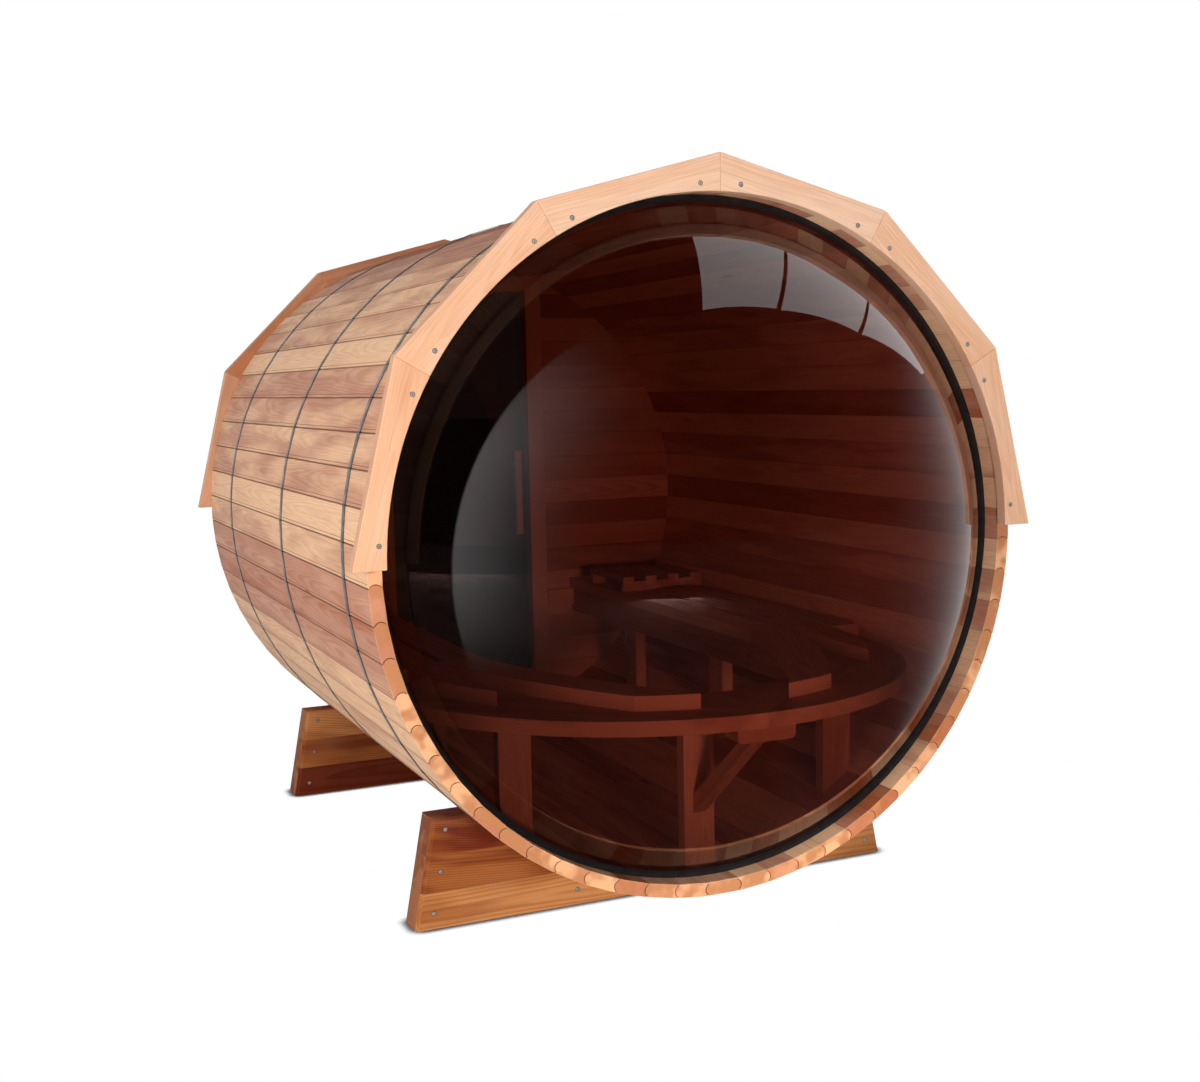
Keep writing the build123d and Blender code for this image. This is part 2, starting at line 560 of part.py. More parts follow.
def bench_props():
    """The splice block under the front board, the post behind it and the knee brace."""
    block_front = FRONT_APEX + BLOCK_SETBACK
    block = box_between(-BLOCK_LENGTH / 2, BLOCK_LENGTH / 2, block_front, block_front + BLOCK_WIDTH,
                        FRONT_UNDERSIDE - BLOCK_HEIGHT - SEAT_CLEARANCE, FRONT_UNDERSIDE - SEAT_CLEARANCE)
    corners = [edge for edge in block.edges().filter_by(Axis.Y)
               if edge.center().Z < AXIS_HEIGHT + FRONT_UNDERSIDE - BLOCK_HEIGHT / 2]
    block = fillet(corners, BLOCK_CORNER_RADIUS)
    post = box_between(-LEG_WIDTH / 2, LEG_WIDTH / 2, POST_DISTANCE, POST_DISTANCE + LEG_THICKNESS,
                       -CABIN_RADIUS, FRONT_UNDERSIDE - SEAT_CLEARANCE)
    post = post & barrel_cylinder(CABIN_RADIUS, POST_DISTANCE, LEG_THICKNESS)
    under = FRONT_UNDERSIDE - BLOCK_HEIGHT - 2 * SEAT_CLEARANCE
    brace_front = block_front + BLOCK_WIDTH / 2
    brace_back = POST_DISTANCE - SEAT_CLEARANCE
    rise = BRACE_SECTION * BRACE_TOE_RATIO
    points = [(brace_back, under - BRACE_DROP), (brace_back, under - BRACE_DROP + rise),
              (brace_front + rise / 2, under), (brace_front - rise / 2, under)]
    outline = make_face(Polyline(*[(STAVE_FRONT + y, AXIS_HEIGHT + z) for y, z in points], close=True))
    brace = Pos(-BRACE_SECTION / 2, 0, 0) * extrude(Plane.YZ * outline, amount=BRACE_SECTION)
    return block, post, brace


def bench_aprons():
    """The deep boards under the inner edges of the side benches."""
    x = BENCH_INNER_EDGE + APRON_INSET
    start = FRONT_BOARD_CENTRE - sqrt(FRONT_BOARD_INNER ** 2 - (x + APRON_THICKNESS) ** 2) + SEAT_CLEARANCE
    apron = box_between(x, x + APRON_THICKNESS, start, WALL_FRONT - LEDGER_THICKNESS - SEAT_CLEARANCE,
                        BENCH_UNDERSIDE - APRON_HEIGHT - SEAT_CLEARANCE, BENCH_UNDERSIDE - SEAT_CLEARANCE)
    cut = level_plate(Pos(0, FRONT_BOARD_CENTRE) * (Circle(FRONT_BOARD_OUTER) - Circle(
        FRONT_BOARD_INNER - SEAT_CLEARANCE)), FRONT_UNDERSIDE - APRON_HEIGHT, 2 * APRON_HEIGHT)
    cut = cut & box_between(0, OUTER_RADIUS, -OUTER_RADIUS, FRONT_BOARD_CENTRE, -OUTER_RADIUS, 0)
    apron = apron - cut
    return [apron, mirrored(apron)]


def bench_legs():
    """The legs under the side benches and the front board, cut to the round below."""
    legs = []
    side_x = BENCH_INNER_EDGE + APRON_INSET + APRON_THICKNESS + SEAT_CLEARANCE
    for distance in SIDE_LEG_DISTANCES:
        legs.append(box_between(side_x, side_x + LEG_THICKNESS, distance, distance + LEG_WIDTH,
                                -CABIN_RADIUS, BENCH_UNDERSIDE - SEAT_CLEARANCE))
    legs.append(box_between(FRONT_LEG_OFFSET - LEG_WIDTH / 2, FRONT_LEG_OFFSET + LEG_WIDTH / 2, FRONT_LEG_DISTANCE,
                            FRONT_LEG_DISTANCE + LEG_THICKNESS, -CABIN_RADIUS, FRONT_UNDERSIDE - SEAT_CLEARANCE))
    cabin = barrel_cylinder(CABIN_RADIUS, 0, STAVE_LENGTH)
    legs = [leg & cabin for leg in legs]
    return legs + [mirrored(leg) for leg in legs]


def bench_ledgers():
    """The rails on the end wall that carry the side benches, from the door posts outwards."""
    inner = DOORWAY_WIDTH / 2 + POST_WIDTH + SEAT_CLEARANCE
    top = BENCH_UNDERSIDE - SEAT_CLEARANCE
    ledger = box_between(inner, OUTER_RADIUS, WALL_FRONT - LEDGER_THICKNESS, WALL_FRONT, top - LEDGER_HEIGHT, top)
    ledger = ledger & barrel_cylinder(CABIN_RADIUS, WALL_FRONT - LEDGER_THICKNESS, LEDGER_THICKNESS)
    return [ledger, mirrored(ledger)]


def headrest():
    """Two wavy rails with slats across them, on the right bench."""
    half = (HEADREST_OUTER - HEADREST_INNER) / 2
    low, high = BENCH_TOP + SEAT_CLEARANCE, BENCH_TOP + SEAT_CLEARANCE + HEADREST_RAIL_HEIGHT
    centre = HEADREST_INNER + half
    rails = None
    for distance in (HEADREST_DISTANCE, HEADREST_DISTANCE + HEADREST_LENGTH - HEADREST_RAIL_THICKNESS):
        foot, head = AXIS_HEIGHT + low, AXIS_HEIGHT + high
        start, turn, end = (centre - half, foot), (centre - half / 3, foot), (centre + half, foot)
        crest = (centre + half / 3, foot + HEADREST_WAVE)
        top = Polyline(end, (centre + half, head), (centre - half, head), start)
        outline = [Line(start, turn), ThreePointArc(turn, crest, end)] + list(top.edges())
        rail = along(make_face(outline), distance, HEADREST_RAIL_THICKNESS)
        rails = rail if rails is None else rails + rail
    pitch = (HEADREST_OUTER - HEADREST_INNER - HEADREST_SLAT_WIDTH) / (HEADREST_SLATS - 1)
    for number in range(HEADREST_SLATS):
        x = centre - half + number * pitch
        rails = rails + box_between(x, x + HEADREST_SLAT_WIDTH, HEADREST_DISTANCE,
                                    HEADREST_DISTANCE + HEADREST_LENGTH, high, high + HEADREST_SLAT_THICKNESS)
    return rails


def main():
    """Build every piece and write it under its own name."""
    os.makedirs("parts", exist_ok=True)
    for number, staves in enumerate(stave_groups(), start=1):
        write(staves, f"barrel_staves_{number:02d}")
    for end, distance in (("window_end", -TRIM_THICKNESS), ("door_end", STAVE_LENGTH)):
        boards = trim_boards(distance)
        half = TRIM_BOARD_COUNT // 2
        write(boards[:half], f"{end}_trim_right")
        write(boards[half:], f"{end}_trim_left")
    for name, distance in zip(("window_end_band", "middle_band", "door_end_band"), BAND_DISTANCES):
        write([band(distance)], name)
    for name, distance in zip(("window_end_cradle", "door_end_cradle"), CRADLE_DISTANCES):
        sill, blocks = cradle(distance)
        write(sill, f"{name}_sill")
        write(blocks, f"{name}_blocks")
    write([bubble_window()], "bubble_window")
    left, right, over, under = end_wall()
    write([left], "end_wall_left")
    write([right], "end_wall_right")
    write([over, under], "end_wall_over_and_under_door")
    write(door_posts(), "door_posts")
    write(door_rails(), "door_head_and_sill")
    write([door_glass()], "door_glass")
    write(door_handles(), "door_handles")
    write([hinge_frame_side(level) for level in HINGE_HEIGHTS], "door_hinge_plates")
    write([solid for level in HINGE_HEIGHTS for solid in hinge_door_side(level)], "door_hinge_clamps")
    side = bench_side_top()
    write(side, "bench_right_boards")
    write([mirrored(board) for board in side], "bench_left_boards")
    write(bench_front(), "bench_front_board")
    block, post, brace = bench_props()
    write([block, post, brace], "bench_front_props")
    write(bench_aprons(), "bench_aprons")
    write(bench_legs(), "bench_legs")
    write(bench_ledgers(), "bench_ledgers")
    write([headrest()], "headrest")


main()
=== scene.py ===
"""Looks of a barrel sauna with a bubble window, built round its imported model.

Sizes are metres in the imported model's own frame: X runs across the barrel, Y along it
towards the door, Z is up, and the origin is on the ground.
"""
import logging
from dataclasses import dataclass, field
from enum import Enum
from math import asin, cos, pi, radians, sin, sqrt

import bmesh
import bpy
import numpy as np
from mathutils import Matrix, Vector


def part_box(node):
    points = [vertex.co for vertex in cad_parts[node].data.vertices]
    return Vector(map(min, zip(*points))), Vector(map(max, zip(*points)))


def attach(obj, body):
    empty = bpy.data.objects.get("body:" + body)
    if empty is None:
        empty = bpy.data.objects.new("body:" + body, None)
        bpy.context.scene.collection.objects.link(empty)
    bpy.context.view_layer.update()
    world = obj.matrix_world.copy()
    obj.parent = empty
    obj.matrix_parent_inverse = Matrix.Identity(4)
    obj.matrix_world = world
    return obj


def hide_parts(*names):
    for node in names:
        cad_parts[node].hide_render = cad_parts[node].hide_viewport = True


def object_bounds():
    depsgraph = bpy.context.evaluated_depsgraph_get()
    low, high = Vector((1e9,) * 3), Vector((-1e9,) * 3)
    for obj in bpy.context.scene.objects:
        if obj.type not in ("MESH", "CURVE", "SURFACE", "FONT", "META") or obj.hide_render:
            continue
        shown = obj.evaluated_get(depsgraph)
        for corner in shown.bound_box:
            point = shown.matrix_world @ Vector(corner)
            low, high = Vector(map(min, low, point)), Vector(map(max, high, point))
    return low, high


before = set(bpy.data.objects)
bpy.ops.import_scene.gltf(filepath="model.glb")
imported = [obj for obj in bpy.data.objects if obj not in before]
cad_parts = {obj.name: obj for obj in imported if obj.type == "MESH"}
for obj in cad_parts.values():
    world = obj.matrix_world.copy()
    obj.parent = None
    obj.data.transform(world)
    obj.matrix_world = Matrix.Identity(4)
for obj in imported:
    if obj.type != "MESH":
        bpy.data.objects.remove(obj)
CAD_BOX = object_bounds()
LOG = logging.getLogger("barrel_sauna")

Colour = tuple[float, float, float, float]
Socket = bpy.types.NodeSocket
Point = tuple[float, float]

STAVE_NODES = [name for name in sorted(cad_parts) if name.startswith("barrel_staves")]
STAVES_LOW = Vector(map(min, *[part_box(name)[0] for name in STAVE_NODES]))
STAVES_HIGH = Vector(map(max, *[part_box(name)[1] for name in STAVE_NODES]))
WINDOW_LOW, WINDOW_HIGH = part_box("bubble_window")
AXIS_HEIGHT = (WINDOW_LOW.z + WINDOW_HIGH.z) / 2
FRONT = STAVES_LOW.y
BACK = STAVES_HIGH.y
OUTER_RADIUS = STAVES_HIGH.z - AXIS_HEIGHT


class Graph:
    """Adds nodes to one tree and joins them."""

    def __init__(self, tree: bpy.types.NodeTree) -> None:
        """Keep the tree that the nodes go into."""
        self.tree = tree

    def feed(self, target: Socket, value: object) -> None:
        """Join an input to a socket, or set it to a constant."""
        if isinstance(value, bpy.types.NodeSocket):
            self.tree.links.new(value, target)
        else:
            target.default_value = value

    def add(self, kind: str, inputs: dict | None = None, **settings: object) -> bpy.types.Node:
        """Add one node.

        Args:
            kind: The node's type name.
            inputs: Input names or numbers, each with a socket or a constant.
            settings: The node's own options.

        Returns:
            The new node.
        """
        node = self.tree.nodes.new(kind)
        for name, value in settings.items():
            setattr(node, name, value)
        for key, value in (inputs or {}).items():
            self.feed(node.inputs[key], value)
        return node

    def math(self, operation: str, *values: object) -> Socket:
        """Add a Math node on one, two or three values."""
        return self.add("ShaderNodeMath", dict(enumerate(values)), operation=operation).outputs[0]

    def vector(self, operation: str, *values: object) -> Socket:
        """Add a Vector Math node and return the output that its operation fills."""
        node = self.add("ShaderNodeVectorMath", dict(enumerate(values)), operation=operation)
        return node.outputs[1 if operation in {"LENGTH", "DOT_PRODUCT"} else 0]

    def blend(self, factor: object, first: object, second: object, mode: str = "MIX") -> Socket:
        """Blend two colours."""
        node = self.add("ShaderNodeMix", data_type="RGBA", blend_type=mode)
        for number, value in ((0, factor), (6, first), (7, second)):
            self.feed(node.inputs[number], value)
        return node.outputs[2]

    def fade(self, value: Socket, low: float, high: float, start: float = 0.0, end: float = 1.0) -> Socket:
        """Map a value smoothly from one range to another."""
        inputs = {0: value, 1: low, 2: high, 3: start, 4: end}
        return self.add("ShaderNodeMapRange", inputs, interpolation_type="SMOOTHSTEP").outputs[0]

    def noise(self, place: Socket, scale: float, detail: float = 2.0) -> Socket:
        """Add a noise of one number over a place."""
        return self.add("ShaderNodeTexNoise", {"Vector": place, "Scale": scale, "Detail": detail}).outputs[0]

    def attribute(self, name: str, output: str = "Fac") -> Socket:
        """Read one of the mesh's own attributes."""
        return self.add("ShaderNodeAttribute", attribute_name=name).outputs[output]


def open_group(name: str, kind: str, sockets: list[tuple[str, str, str, object]]) -> tuple:
    """Start a node group with named inputs and outputs.

    Args:
        name: The group's name.
        kind: ShaderNodeTree or GeometryNodeTree.
        sockets: Name, INPUT or OUTPUT, socket type and default of each.

    Returns:
        The tree, its graph, its input node and its output node.
    """
    tree = bpy.data.node_groups.new(name, kind)
    for label, direction, socket_type, default in sockets:
        socket = tree.interface.new_socket(name=label, in_out=direction, socket_type=socket_type)
        if default is not None:
            socket.default_value = default
    graph = Graph(tree)
    return tree, graph, graph.add("NodeGroupInput"), graph.add("NodeGroupOutput")


def cedar_grain_group() -> bpy.types.NodeTree:
    """Growth rings, fibre and slow tone of a sawn board, from its own coordinates.

    The rings lie round a pith that runs beside the board, so that they show as arches on
    a flat-sawn face, as lines on an edge and as arcs on an end.
    """
    tree, graph, into, out = open_group("Cedar grain", "ShaderNodeTree", [
        ("Board", "INPUT", "NodeSocketVector", None), ("Ring Spacing", "INPUT", "NodeSocketFloat", 0.003),
        ("Taper", "INPUT", "NodeSocketFloat", 0.010), ("Rings", "OUTPUT", "NodeSocketFloat", None),
        ("Fibre", "OUTPUT", "NodeSocketFloat", None), ("Tone", "OUTPUT", "NodeSocketFloat", None),
        ("Knots", "OUTPUT", "NodeSocketFloat", None)])
    board = into.outputs["Board"]
    slow = graph.vector("MULTIPLY", board, (9.0, 1.3, 9.0))
    wander = graph.noise(slow, 1.0, 2.0)
    flat = graph.vector("LENGTH", graph.vector("MULTIPLY", board, (1.0, 0.0, 1.0)))
    along = graph.add("ShaderNodeSeparateXYZ", {0: board}).outputs[1]
    lean = graph.math("MULTIPLY", along, into.outputs["Taper"])
    cells = graph.add("ShaderNodeTexVoronoi", {
        "Vector": graph.vector("MULTIPLY", board, (9.0, 1.7, 9.0)), "Scale": 1.0}, feature="F1")
    chosen = graph.fade(graph.add("ShaderNodeSeparateXYZ", {0: cells.outputs["Color"]}).outputs[0], 0.70, 0.71)
    swirl = graph.math("MULTIPLY", graph.fade(cells.outputs["Distance"], 0.02, 0.22, 1.0, 0.0), chosen)
    radius = graph.math("ADD", graph.math("ADD", flat, lean), graph.math("MULTIPLY", wander, 0.022))
    radius = graph.math("ADD", radius, graph.math("MULTIPLY", swirl, 0.012))
    phase = graph.math("FRACT", graph.math("DIVIDE", radius, into.outputs["Ring Spacing"]))
    late = graph.math("MULTIPLY", graph.fade(phase, 0.25, 0.86), graph.fade(phase, 0.90, 1.0, 1.0, 0.0))
    fine = graph.vector("MULTIPLY", board, (700.0, 9.0, 700.0))
    graph.feed(out.inputs["Rings"], late)
    graph.feed(out.inputs["Fibre"], graph.noise(fine, 1.0, 2.0))
    graph.feed(out.inputs["Tone"], graph.noise(graph.vector("MULTIPLY", board, (15.0, 2.4, 15.0)), 1.0, 2.0))
    heart = graph.fade(cells.outputs["Distance"], 0.035, 0.085, 1.0, 0.0)
    graph.feed(out.inputs["Knots"], graph.math("MULTIPLY", heart, chosen))
    return tree


def dust_group() -> bpy.types.NodeTree:
    """A mask of dust and scuffs that lies on what faces up and in broad patches."""
    tree, graph, into, out = open_group("Dust", "ShaderNodeTree", [
        ("Place", "INPUT", "NodeSocketVector", None), ("Patch Size", "INPUT", "NodeSocketFloat", 5.0),
        ("Mask", "OUTPUT", "NodeSocketFloat", None)])
    patches = graph.add("ShaderNodeTexNoise", {
        "Vector": into.outputs["Place"], "Scale": into.outputs["Patch Size"], "Detail": 4.0}).outputs[0]
    up = graph.add("ShaderNodeSeparateXYZ", {0: graph.add("ShaderNodeNewGeometry").outputs["Normal"]}).outputs[2]
    facing = graph.fade(up, 0.2, 0.95, 0.25, 1.0)
    graph.feed(out.inputs["Mask"], graph.math("MULTIPLY", graph.fade(patches, 0.46, 0.72), facing))
    return tree


GRAIN = cedar_grain_group()
DUST = dust_group()


def new_material(name: str) -> tuple[bpy.types.Material, Graph, bpy.types.Node]:
    """Start a material and return it with its graph and its Principled node."""
    material = bpy.data.materials.new(name)
    material.use_nodes = True
    return material, Graph(material.node_tree), material.node_tree.nodes["Principled BSDF"]


# Painted shade: the colour that faces marked joint are darkened towards, in the gaps where staves meet.
PAINTED_JOINT_SHADE = (0.150, 0.040, 0.014, 1.0)
KNOT_SHADE = (0.13, 0.040, 0.018, 1.0)


@dataclass(frozen=True)
class CedarFinish:
    """One batch of cedar boards: its range of colour and how its grain shows."""

    name: str
    pale: Colour
    warm: Colour
    dark: Colour
    end: Colour
    ring_spacing: float = 0.0032
    ring_depth: float = 0.34
    roughness: float = 0.55
    mottle: float = 0.16

    def material(self) -> bpy.types.Material:
        """Build the material from the board, tone and end attributes, with a painted highlight on faces marked edge and
        painted shade on faces marked joint.
        """
        material, graph, surface = new_material(self.name)
        grain = graph.add("ShaderNodeGroup", node_tree=GRAIN)
        graph.feed(grain.inputs["Board"], graph.attribute("board", "Vector"))
        graph.feed(grain.inputs["Ring Spacing"], self.ring_spacing)
        mottle = graph.fade(grain.outputs["Tone"], 0.32, 0.68, -self.mottle, self.mottle)
        wave = graph.math("ADD", graph.attribute("tone"), mottle)
        lower = graph.blend(graph.fade(wave, 0.0, 0.6), self.pale, self.warm)
        wood = graph.blend(graph.fade(wave, 0.6, 1.0), lower, self.dark)
        depth = graph.math("MULTIPLY", grain.outputs["Rings"], self.ring_depth)
        wood = graph.blend(depth, wood, graph.blend(1.0, wood, (0.62, 0.42, 0.30, 1.0), "MULTIPLY"))
        streak = graph.fade(grain.outputs["Fibre"], 0.25, 0.75, 0.88, 1.08)
        wood = graph.blend(1.0, wood, graph.add("ShaderNodeCombineXYZ", {0: streak, 1: streak, 2: streak}).outputs[0],
                           "MULTIPLY")
        wood = graph.blend(graph.math("MULTIPLY", grain.outputs["Knots"], 0.7), wood, KNOT_SHADE)
        dull = graph.blend(1.0, wood, (0.90, 0.78, 0.68, 1.0), "MULTIPLY")
        ends = graph.blend(graph.fade(grain.outputs["Tone"], 0.40, 0.60, 0.05, 1.0), dull, self.end)
        ends = graph.blend(graph.math("MULTIPLY", depth, 0.9), ends, self.dark)
        wood = graph.blend(graph.attribute("end"), wood, ends)
        # Painted highlight: eased edges are blended towards the pale colour.
        wood = graph.blend(graph.math("MULTIPLY", graph.attribute("edge"), 0.35), wood, self.pale)
        # Painted shade where staves meet, from the joint attribute.
        wood = graph.blend(graph.math("MULTIPLY", graph.attribute("joint"), 0.85), wood, PAINTED_JOINT_SHADE)
        dust = graph.add("ShaderNodeGroup", node_tree=DUST)
        graph.feed(dust.inputs["Place"], graph.add("ShaderNodeTexCoord").outputs["Object"])
        veil = graph.math("MULTIPLY", dust.outputs["Mask"], 0.08)
        graph.feed(surface.inputs["Base Color"], graph.blend(veil, wood, (0.70, 0.62, 0.54, 1.0)))
        graph.feed(surface.inputs["Roughness"], graph.fade(grain.outputs["Rings"], 0.0, 1.0, self.roughness,
                                                           self.roughness + 0.14))
        bump = graph.add("ShaderNodeBump", {"Height": grain.outputs["Fibre"], "Strength": 0.35, "Distance": 0.0004})
        graph.feed(surface.inputs["Normal"], bump.outputs[0])
        surface.inputs["Specular IOR Level"].default_value = 0.35
        return material


@dataclass(frozen=True)
class SteelFinish:
    """Dull zinc-plated or satin steel, with painted shadows where a band spans the gaps between staves."""

    name: str
    colour: Colour
    roughness: float
    joints: int = 0
    shine: float = 1.0

    def material(self) -> bpy.types.Material:
        """Build the metal, with a painted shadow in a strip over each stave joint of a band and painted shade on faces
        marked joint.
        """
        material, graph, surface = new_material(self.name)
        place = graph.add("ShaderNodeTexCoord").outputs["Object"]
        cloud = graph.noise(place, 38.0, 4.0)
        metal = graph.blend(graph.fade(cloud, 0.3, 0.7), self.colour, tuple(c * 0.72 for c in self.colour[:3]) + (1.0,))
        if self.joints:
            parts = graph.add("ShaderNodeSeparateXYZ", {0: place})
            rise = graph.math("SUBTRACT", parts.outputs[2], AXIS_HEIGHT)
            turn = graph.math("ARCTAN2", rise, parts.outputs[0])
            step = 2 * pi / self.joints
            phase = graph.math("FRACT", graph.math("ADD", graph.math("DIVIDE", turn, step), self.joints + 0.0))
            near = graph.math("ABSOLUTE", graph.math("SUBTRACT", phase, 0.5))
            # Painted shadow where the band bridges each gap between staves.
            metal = graph.blend(graph.fade(near, 0.0, 0.035, 0.75, 0.0), metal, (0.030, 0.022, 0.018, 1.0))
        # Painted shade in screw recesses and round the rims of the heads, from the joint attribute.
        metal = graph.blend(graph.math("MULTIPLY", graph.attribute("joint"), 0.85), metal, (0.030, 0.020, 0.015, 1.0))
        graph.feed(surface.inputs["Base Color"], metal)
        surface.inputs["Metallic"].default_value = self.shine
        graph.feed(surface.inputs["Roughness"], graph.fade(cloud, 0.3, 0.7, self.roughness, self.roughness + 0.15))
        return material


@dataclass(frozen=True)
class TintedGlass:
    """A tinted clear sheet, such as bronze acrylic or grey glass."""

    name: str
    tint: Colour
    ior: float

    def material(self) -> bpy.types.Material:
        """Build the glass, with fine hairlines in its polish."""
        material, graph, surface = new_material(self.name)
        place = graph.add("ShaderNodeTexCoord").outputs["Object"]
        smears = graph.noise(graph.vector("MULTIPLY", place, (5.0, 5.0, 2.0)), 1.0, 4.0)
        graph.feed(surface.inputs["Roughness"], graph.fade(smears, 0.62, 0.85, 0.0, 0.05))
        surface.inputs["Base Color"].default_value = self.tint
        surface.inputs["Transmission Weight"].default_value = 1.0
        surface.inputs["IOR"].default_value = self.ior
        light = graph.add("ShaderNodeBsdfTransparent", {"Color": tuple(sqrt(part) for part in self.tint)})
        shown = graph.add("ShaderNodeMixShader", {0: graph.add("ShaderNodeLightPath").outputs["Is Shadow Ray"],
                                                  1: surface.outputs[0], 2: light.outputs[0]})
        graph.feed(material.node_tree.nodes["Material Output"].inputs["Surface"], shown.outputs[0])
        return material


STAVE_CEDAR = CedarFinish("Stave cedar", (0.95, 0.58, 0.34, 1), (0.60, 0.27, 0.165, 1), (0.46, 0.130, 0.045, 1),
                          (0.50, 0.205, 0.085, 1), ring_spacing=0.0026, ring_depth=0.17, mottle=0.16)
TRIM_CEDAR = CedarFinish("Trim cedar", (0.84, 0.54, 0.37, 1), (0.80, 0.43, 0.25, 1), (0.62, 0.25, 0.12, 1),
                         (0.62, 0.33, 0.19, 1), ring_depth=0.16)
CRADLE_CEDAR = CedarFinish("Cradle cedar", (0.50, 0.21, 0.070, 1), (0.32, 0.098, 0.024, 1), (0.14, 0.020, 0.005, 1),
                           (0.40, 0.15, 0.06, 1), ring_spacing=0.0062, ring_depth=0.55, mottle=0.25,
                           roughness=0.68)
BENCH_CEDAR = CedarFinish("Bench cedar", (0.70, 0.40, 0.22, 1), (0.60, 0.31, 0.16, 1), (0.44, 0.19, 0.09, 1),
                          (0.58, 0.32, 0.18, 1))
WALL_CEDAR = CedarFinish("Wall cedar", (0.62, 0.33, 0.18, 1), (0.50, 0.23, 0.11, 1), (0.36, 0.14, 0.065, 1),
                         (0.52, 0.27, 0.15, 1))
BAND_STEEL = SteelFinish("Band steel", (0.40, 0.40, 0.42, 1), 0.45, joints=64)
SCREW_STEEL = SteelFinish("Screw steel", (0.62, 0.61, 0.60, 1), 0.40, shine=0.4)
HINGE_STEEL = SteelFinish("Hinge steel", (0.55, 0.55, 0.56, 1), 0.28)
# Black for the ring of painted shade round the dome's foot.
BLACK_SHADE_RING = SteelFinish("Black shade ring", (0.012, 0.010, 0.010, 1), 0.60, shine=0.0)
BRONZE_ACRYLIC = TintedGlass("Bronze acrylic", (0.355, 0.200, 0.185, 1), 1.49)
DOOR_GLASS = TintedGlass("Door glass", (0.014, 0.012, 0.012, 1), 1.50)


def mesh_object(name: str, mesh: bpy.types.Mesh) -> bpy.types.Object:
    """Link a mesh to the scene as an object at the origin."""
    piece = bpy.data.objects.new(name, mesh)
    bpy.context.scene.collection.objects.link(piece)
    return piece


def finish_piece(piece: bpy.types.Object, material: bpy.types.Material | None,
                 body: str, nodes: list[str]) -> bpy.types.Object:
    """Dress a piece, fix it to its body and hide the nodes that it stands for."""
    if material is not None:
        piece.data.materials.clear()
        piece.data.materials.append(material)
    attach(piece, body)
    if nodes:
        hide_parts(*nodes)
    LOG.info("%s: %d faces on %s", piece.name, len(piece.data.polygons), body)
    return piece


class Run(Enum):
    """How the boards of a piece run."""

    LONGEST = "each along its own longest side"
    ROWS = "level rows across the barrel"


WALL_ROW = 0.089
PLANED = 0.0012
MERGE_DISTANCE = 0.00001
SHARP = radians(25)


def face_islands(mesh: bmesh.types.BMesh) -> list[list[bmesh.types.BMFace]]:
    """The faces of each separate solid."""
    unseen = set(mesh.faces)
    found = []
    while unseen:
        waiting = [unseen.pop()]
        island = []
        while waiting:
            face = waiting.pop()
            island.append(face)
            for edge in face.edges:
                for other in edge.link_faces:
                    if other in unseen:
                        unseen.remove(other)
                        waiting.append(other)
        found.append(island)
    return sorted(found, key=lambda faces: tuple(round(value, 4) for value in middle_of(faces)))


def middle_of(faces: list[bmesh.types.BMFace]) -> Vector:
    """The mean of the faces' middles."""
    total = Vector()
    for face in faces:
        total += face.calc_center_median()
    return total / len(faces)


def board_axes(faces: list[bmesh.types.BMFace], run: Run) -> tuple[Vector, Vector, Vector]:
    """The directions across, along and through one board."""
    if run is Run.ROWS:
        return Vector((0, 0, 1)), Vector((1, 0, 0)), Vector((0, 1, 0))
    points = np.array([vert.co[:] for vert in {vert for face in faces for vert in face.verts}])
    spread = np.cov((points - points.mean(axis=0)).T)
    directions = np.linalg.eigh(spread)[1]
    through, across, along = (Vector(directions[:, column]) for column in range(3))
    return across, along, through


def mark_boards(mesh: bmesh.types.BMesh, seed: int, run: Run, tones: tuple[float, ...] = ()) -> None:
    """Give each board its own coordinates, tone and end faces.

    Args:
        mesh: The boards, each a separate solid.
        seed: Picks the tones and the places in the log.
        run: How the boards run.
        tones: The boards' tones by their order from -X, or nothing for random ones.
    """
    dice = np.random.default_rng(seed)
    board = mesh.loops.layers.float_vector.new("board")
    tone = mesh.faces.layers.float.new("tone")
    end = mesh.faces.layers.float.new("end")
    for number, island in enumerate(face_islands(mesh)):
        across, along, through = board_axes(island, run)
        centre = middle_of(island)
        drawn: dict[int, tuple[float, Vector]] = {}
        for face in sorted(island, key=lambda item: item.index):
            level = face.calc_center_median().z - AXIS_HEIGHT
            row = round(level / WALL_ROW) if run is Run.ROWS else 0
            if row not in drawn:
                shift = Vector((dice.uniform(-0.02, 0.02), dice.uniform(0, 30), dice.uniform(0.05, 0.13)))
                drawn[row] = (dice.uniform(0, 1), shift)
            face[tone], shift = drawn[row]
            if tones:
                face[tone] = tones[number % len(tones)]
            face[end] = 1.0 if abs(face.normal.dot(along)) > 0.8 else 0.0
            for loop in face.loops:
                offset = loop.vert.co - centre
                loop[board] = Vector((offset.dot(across), offset.dot(along), offset.dot(through))) + shift


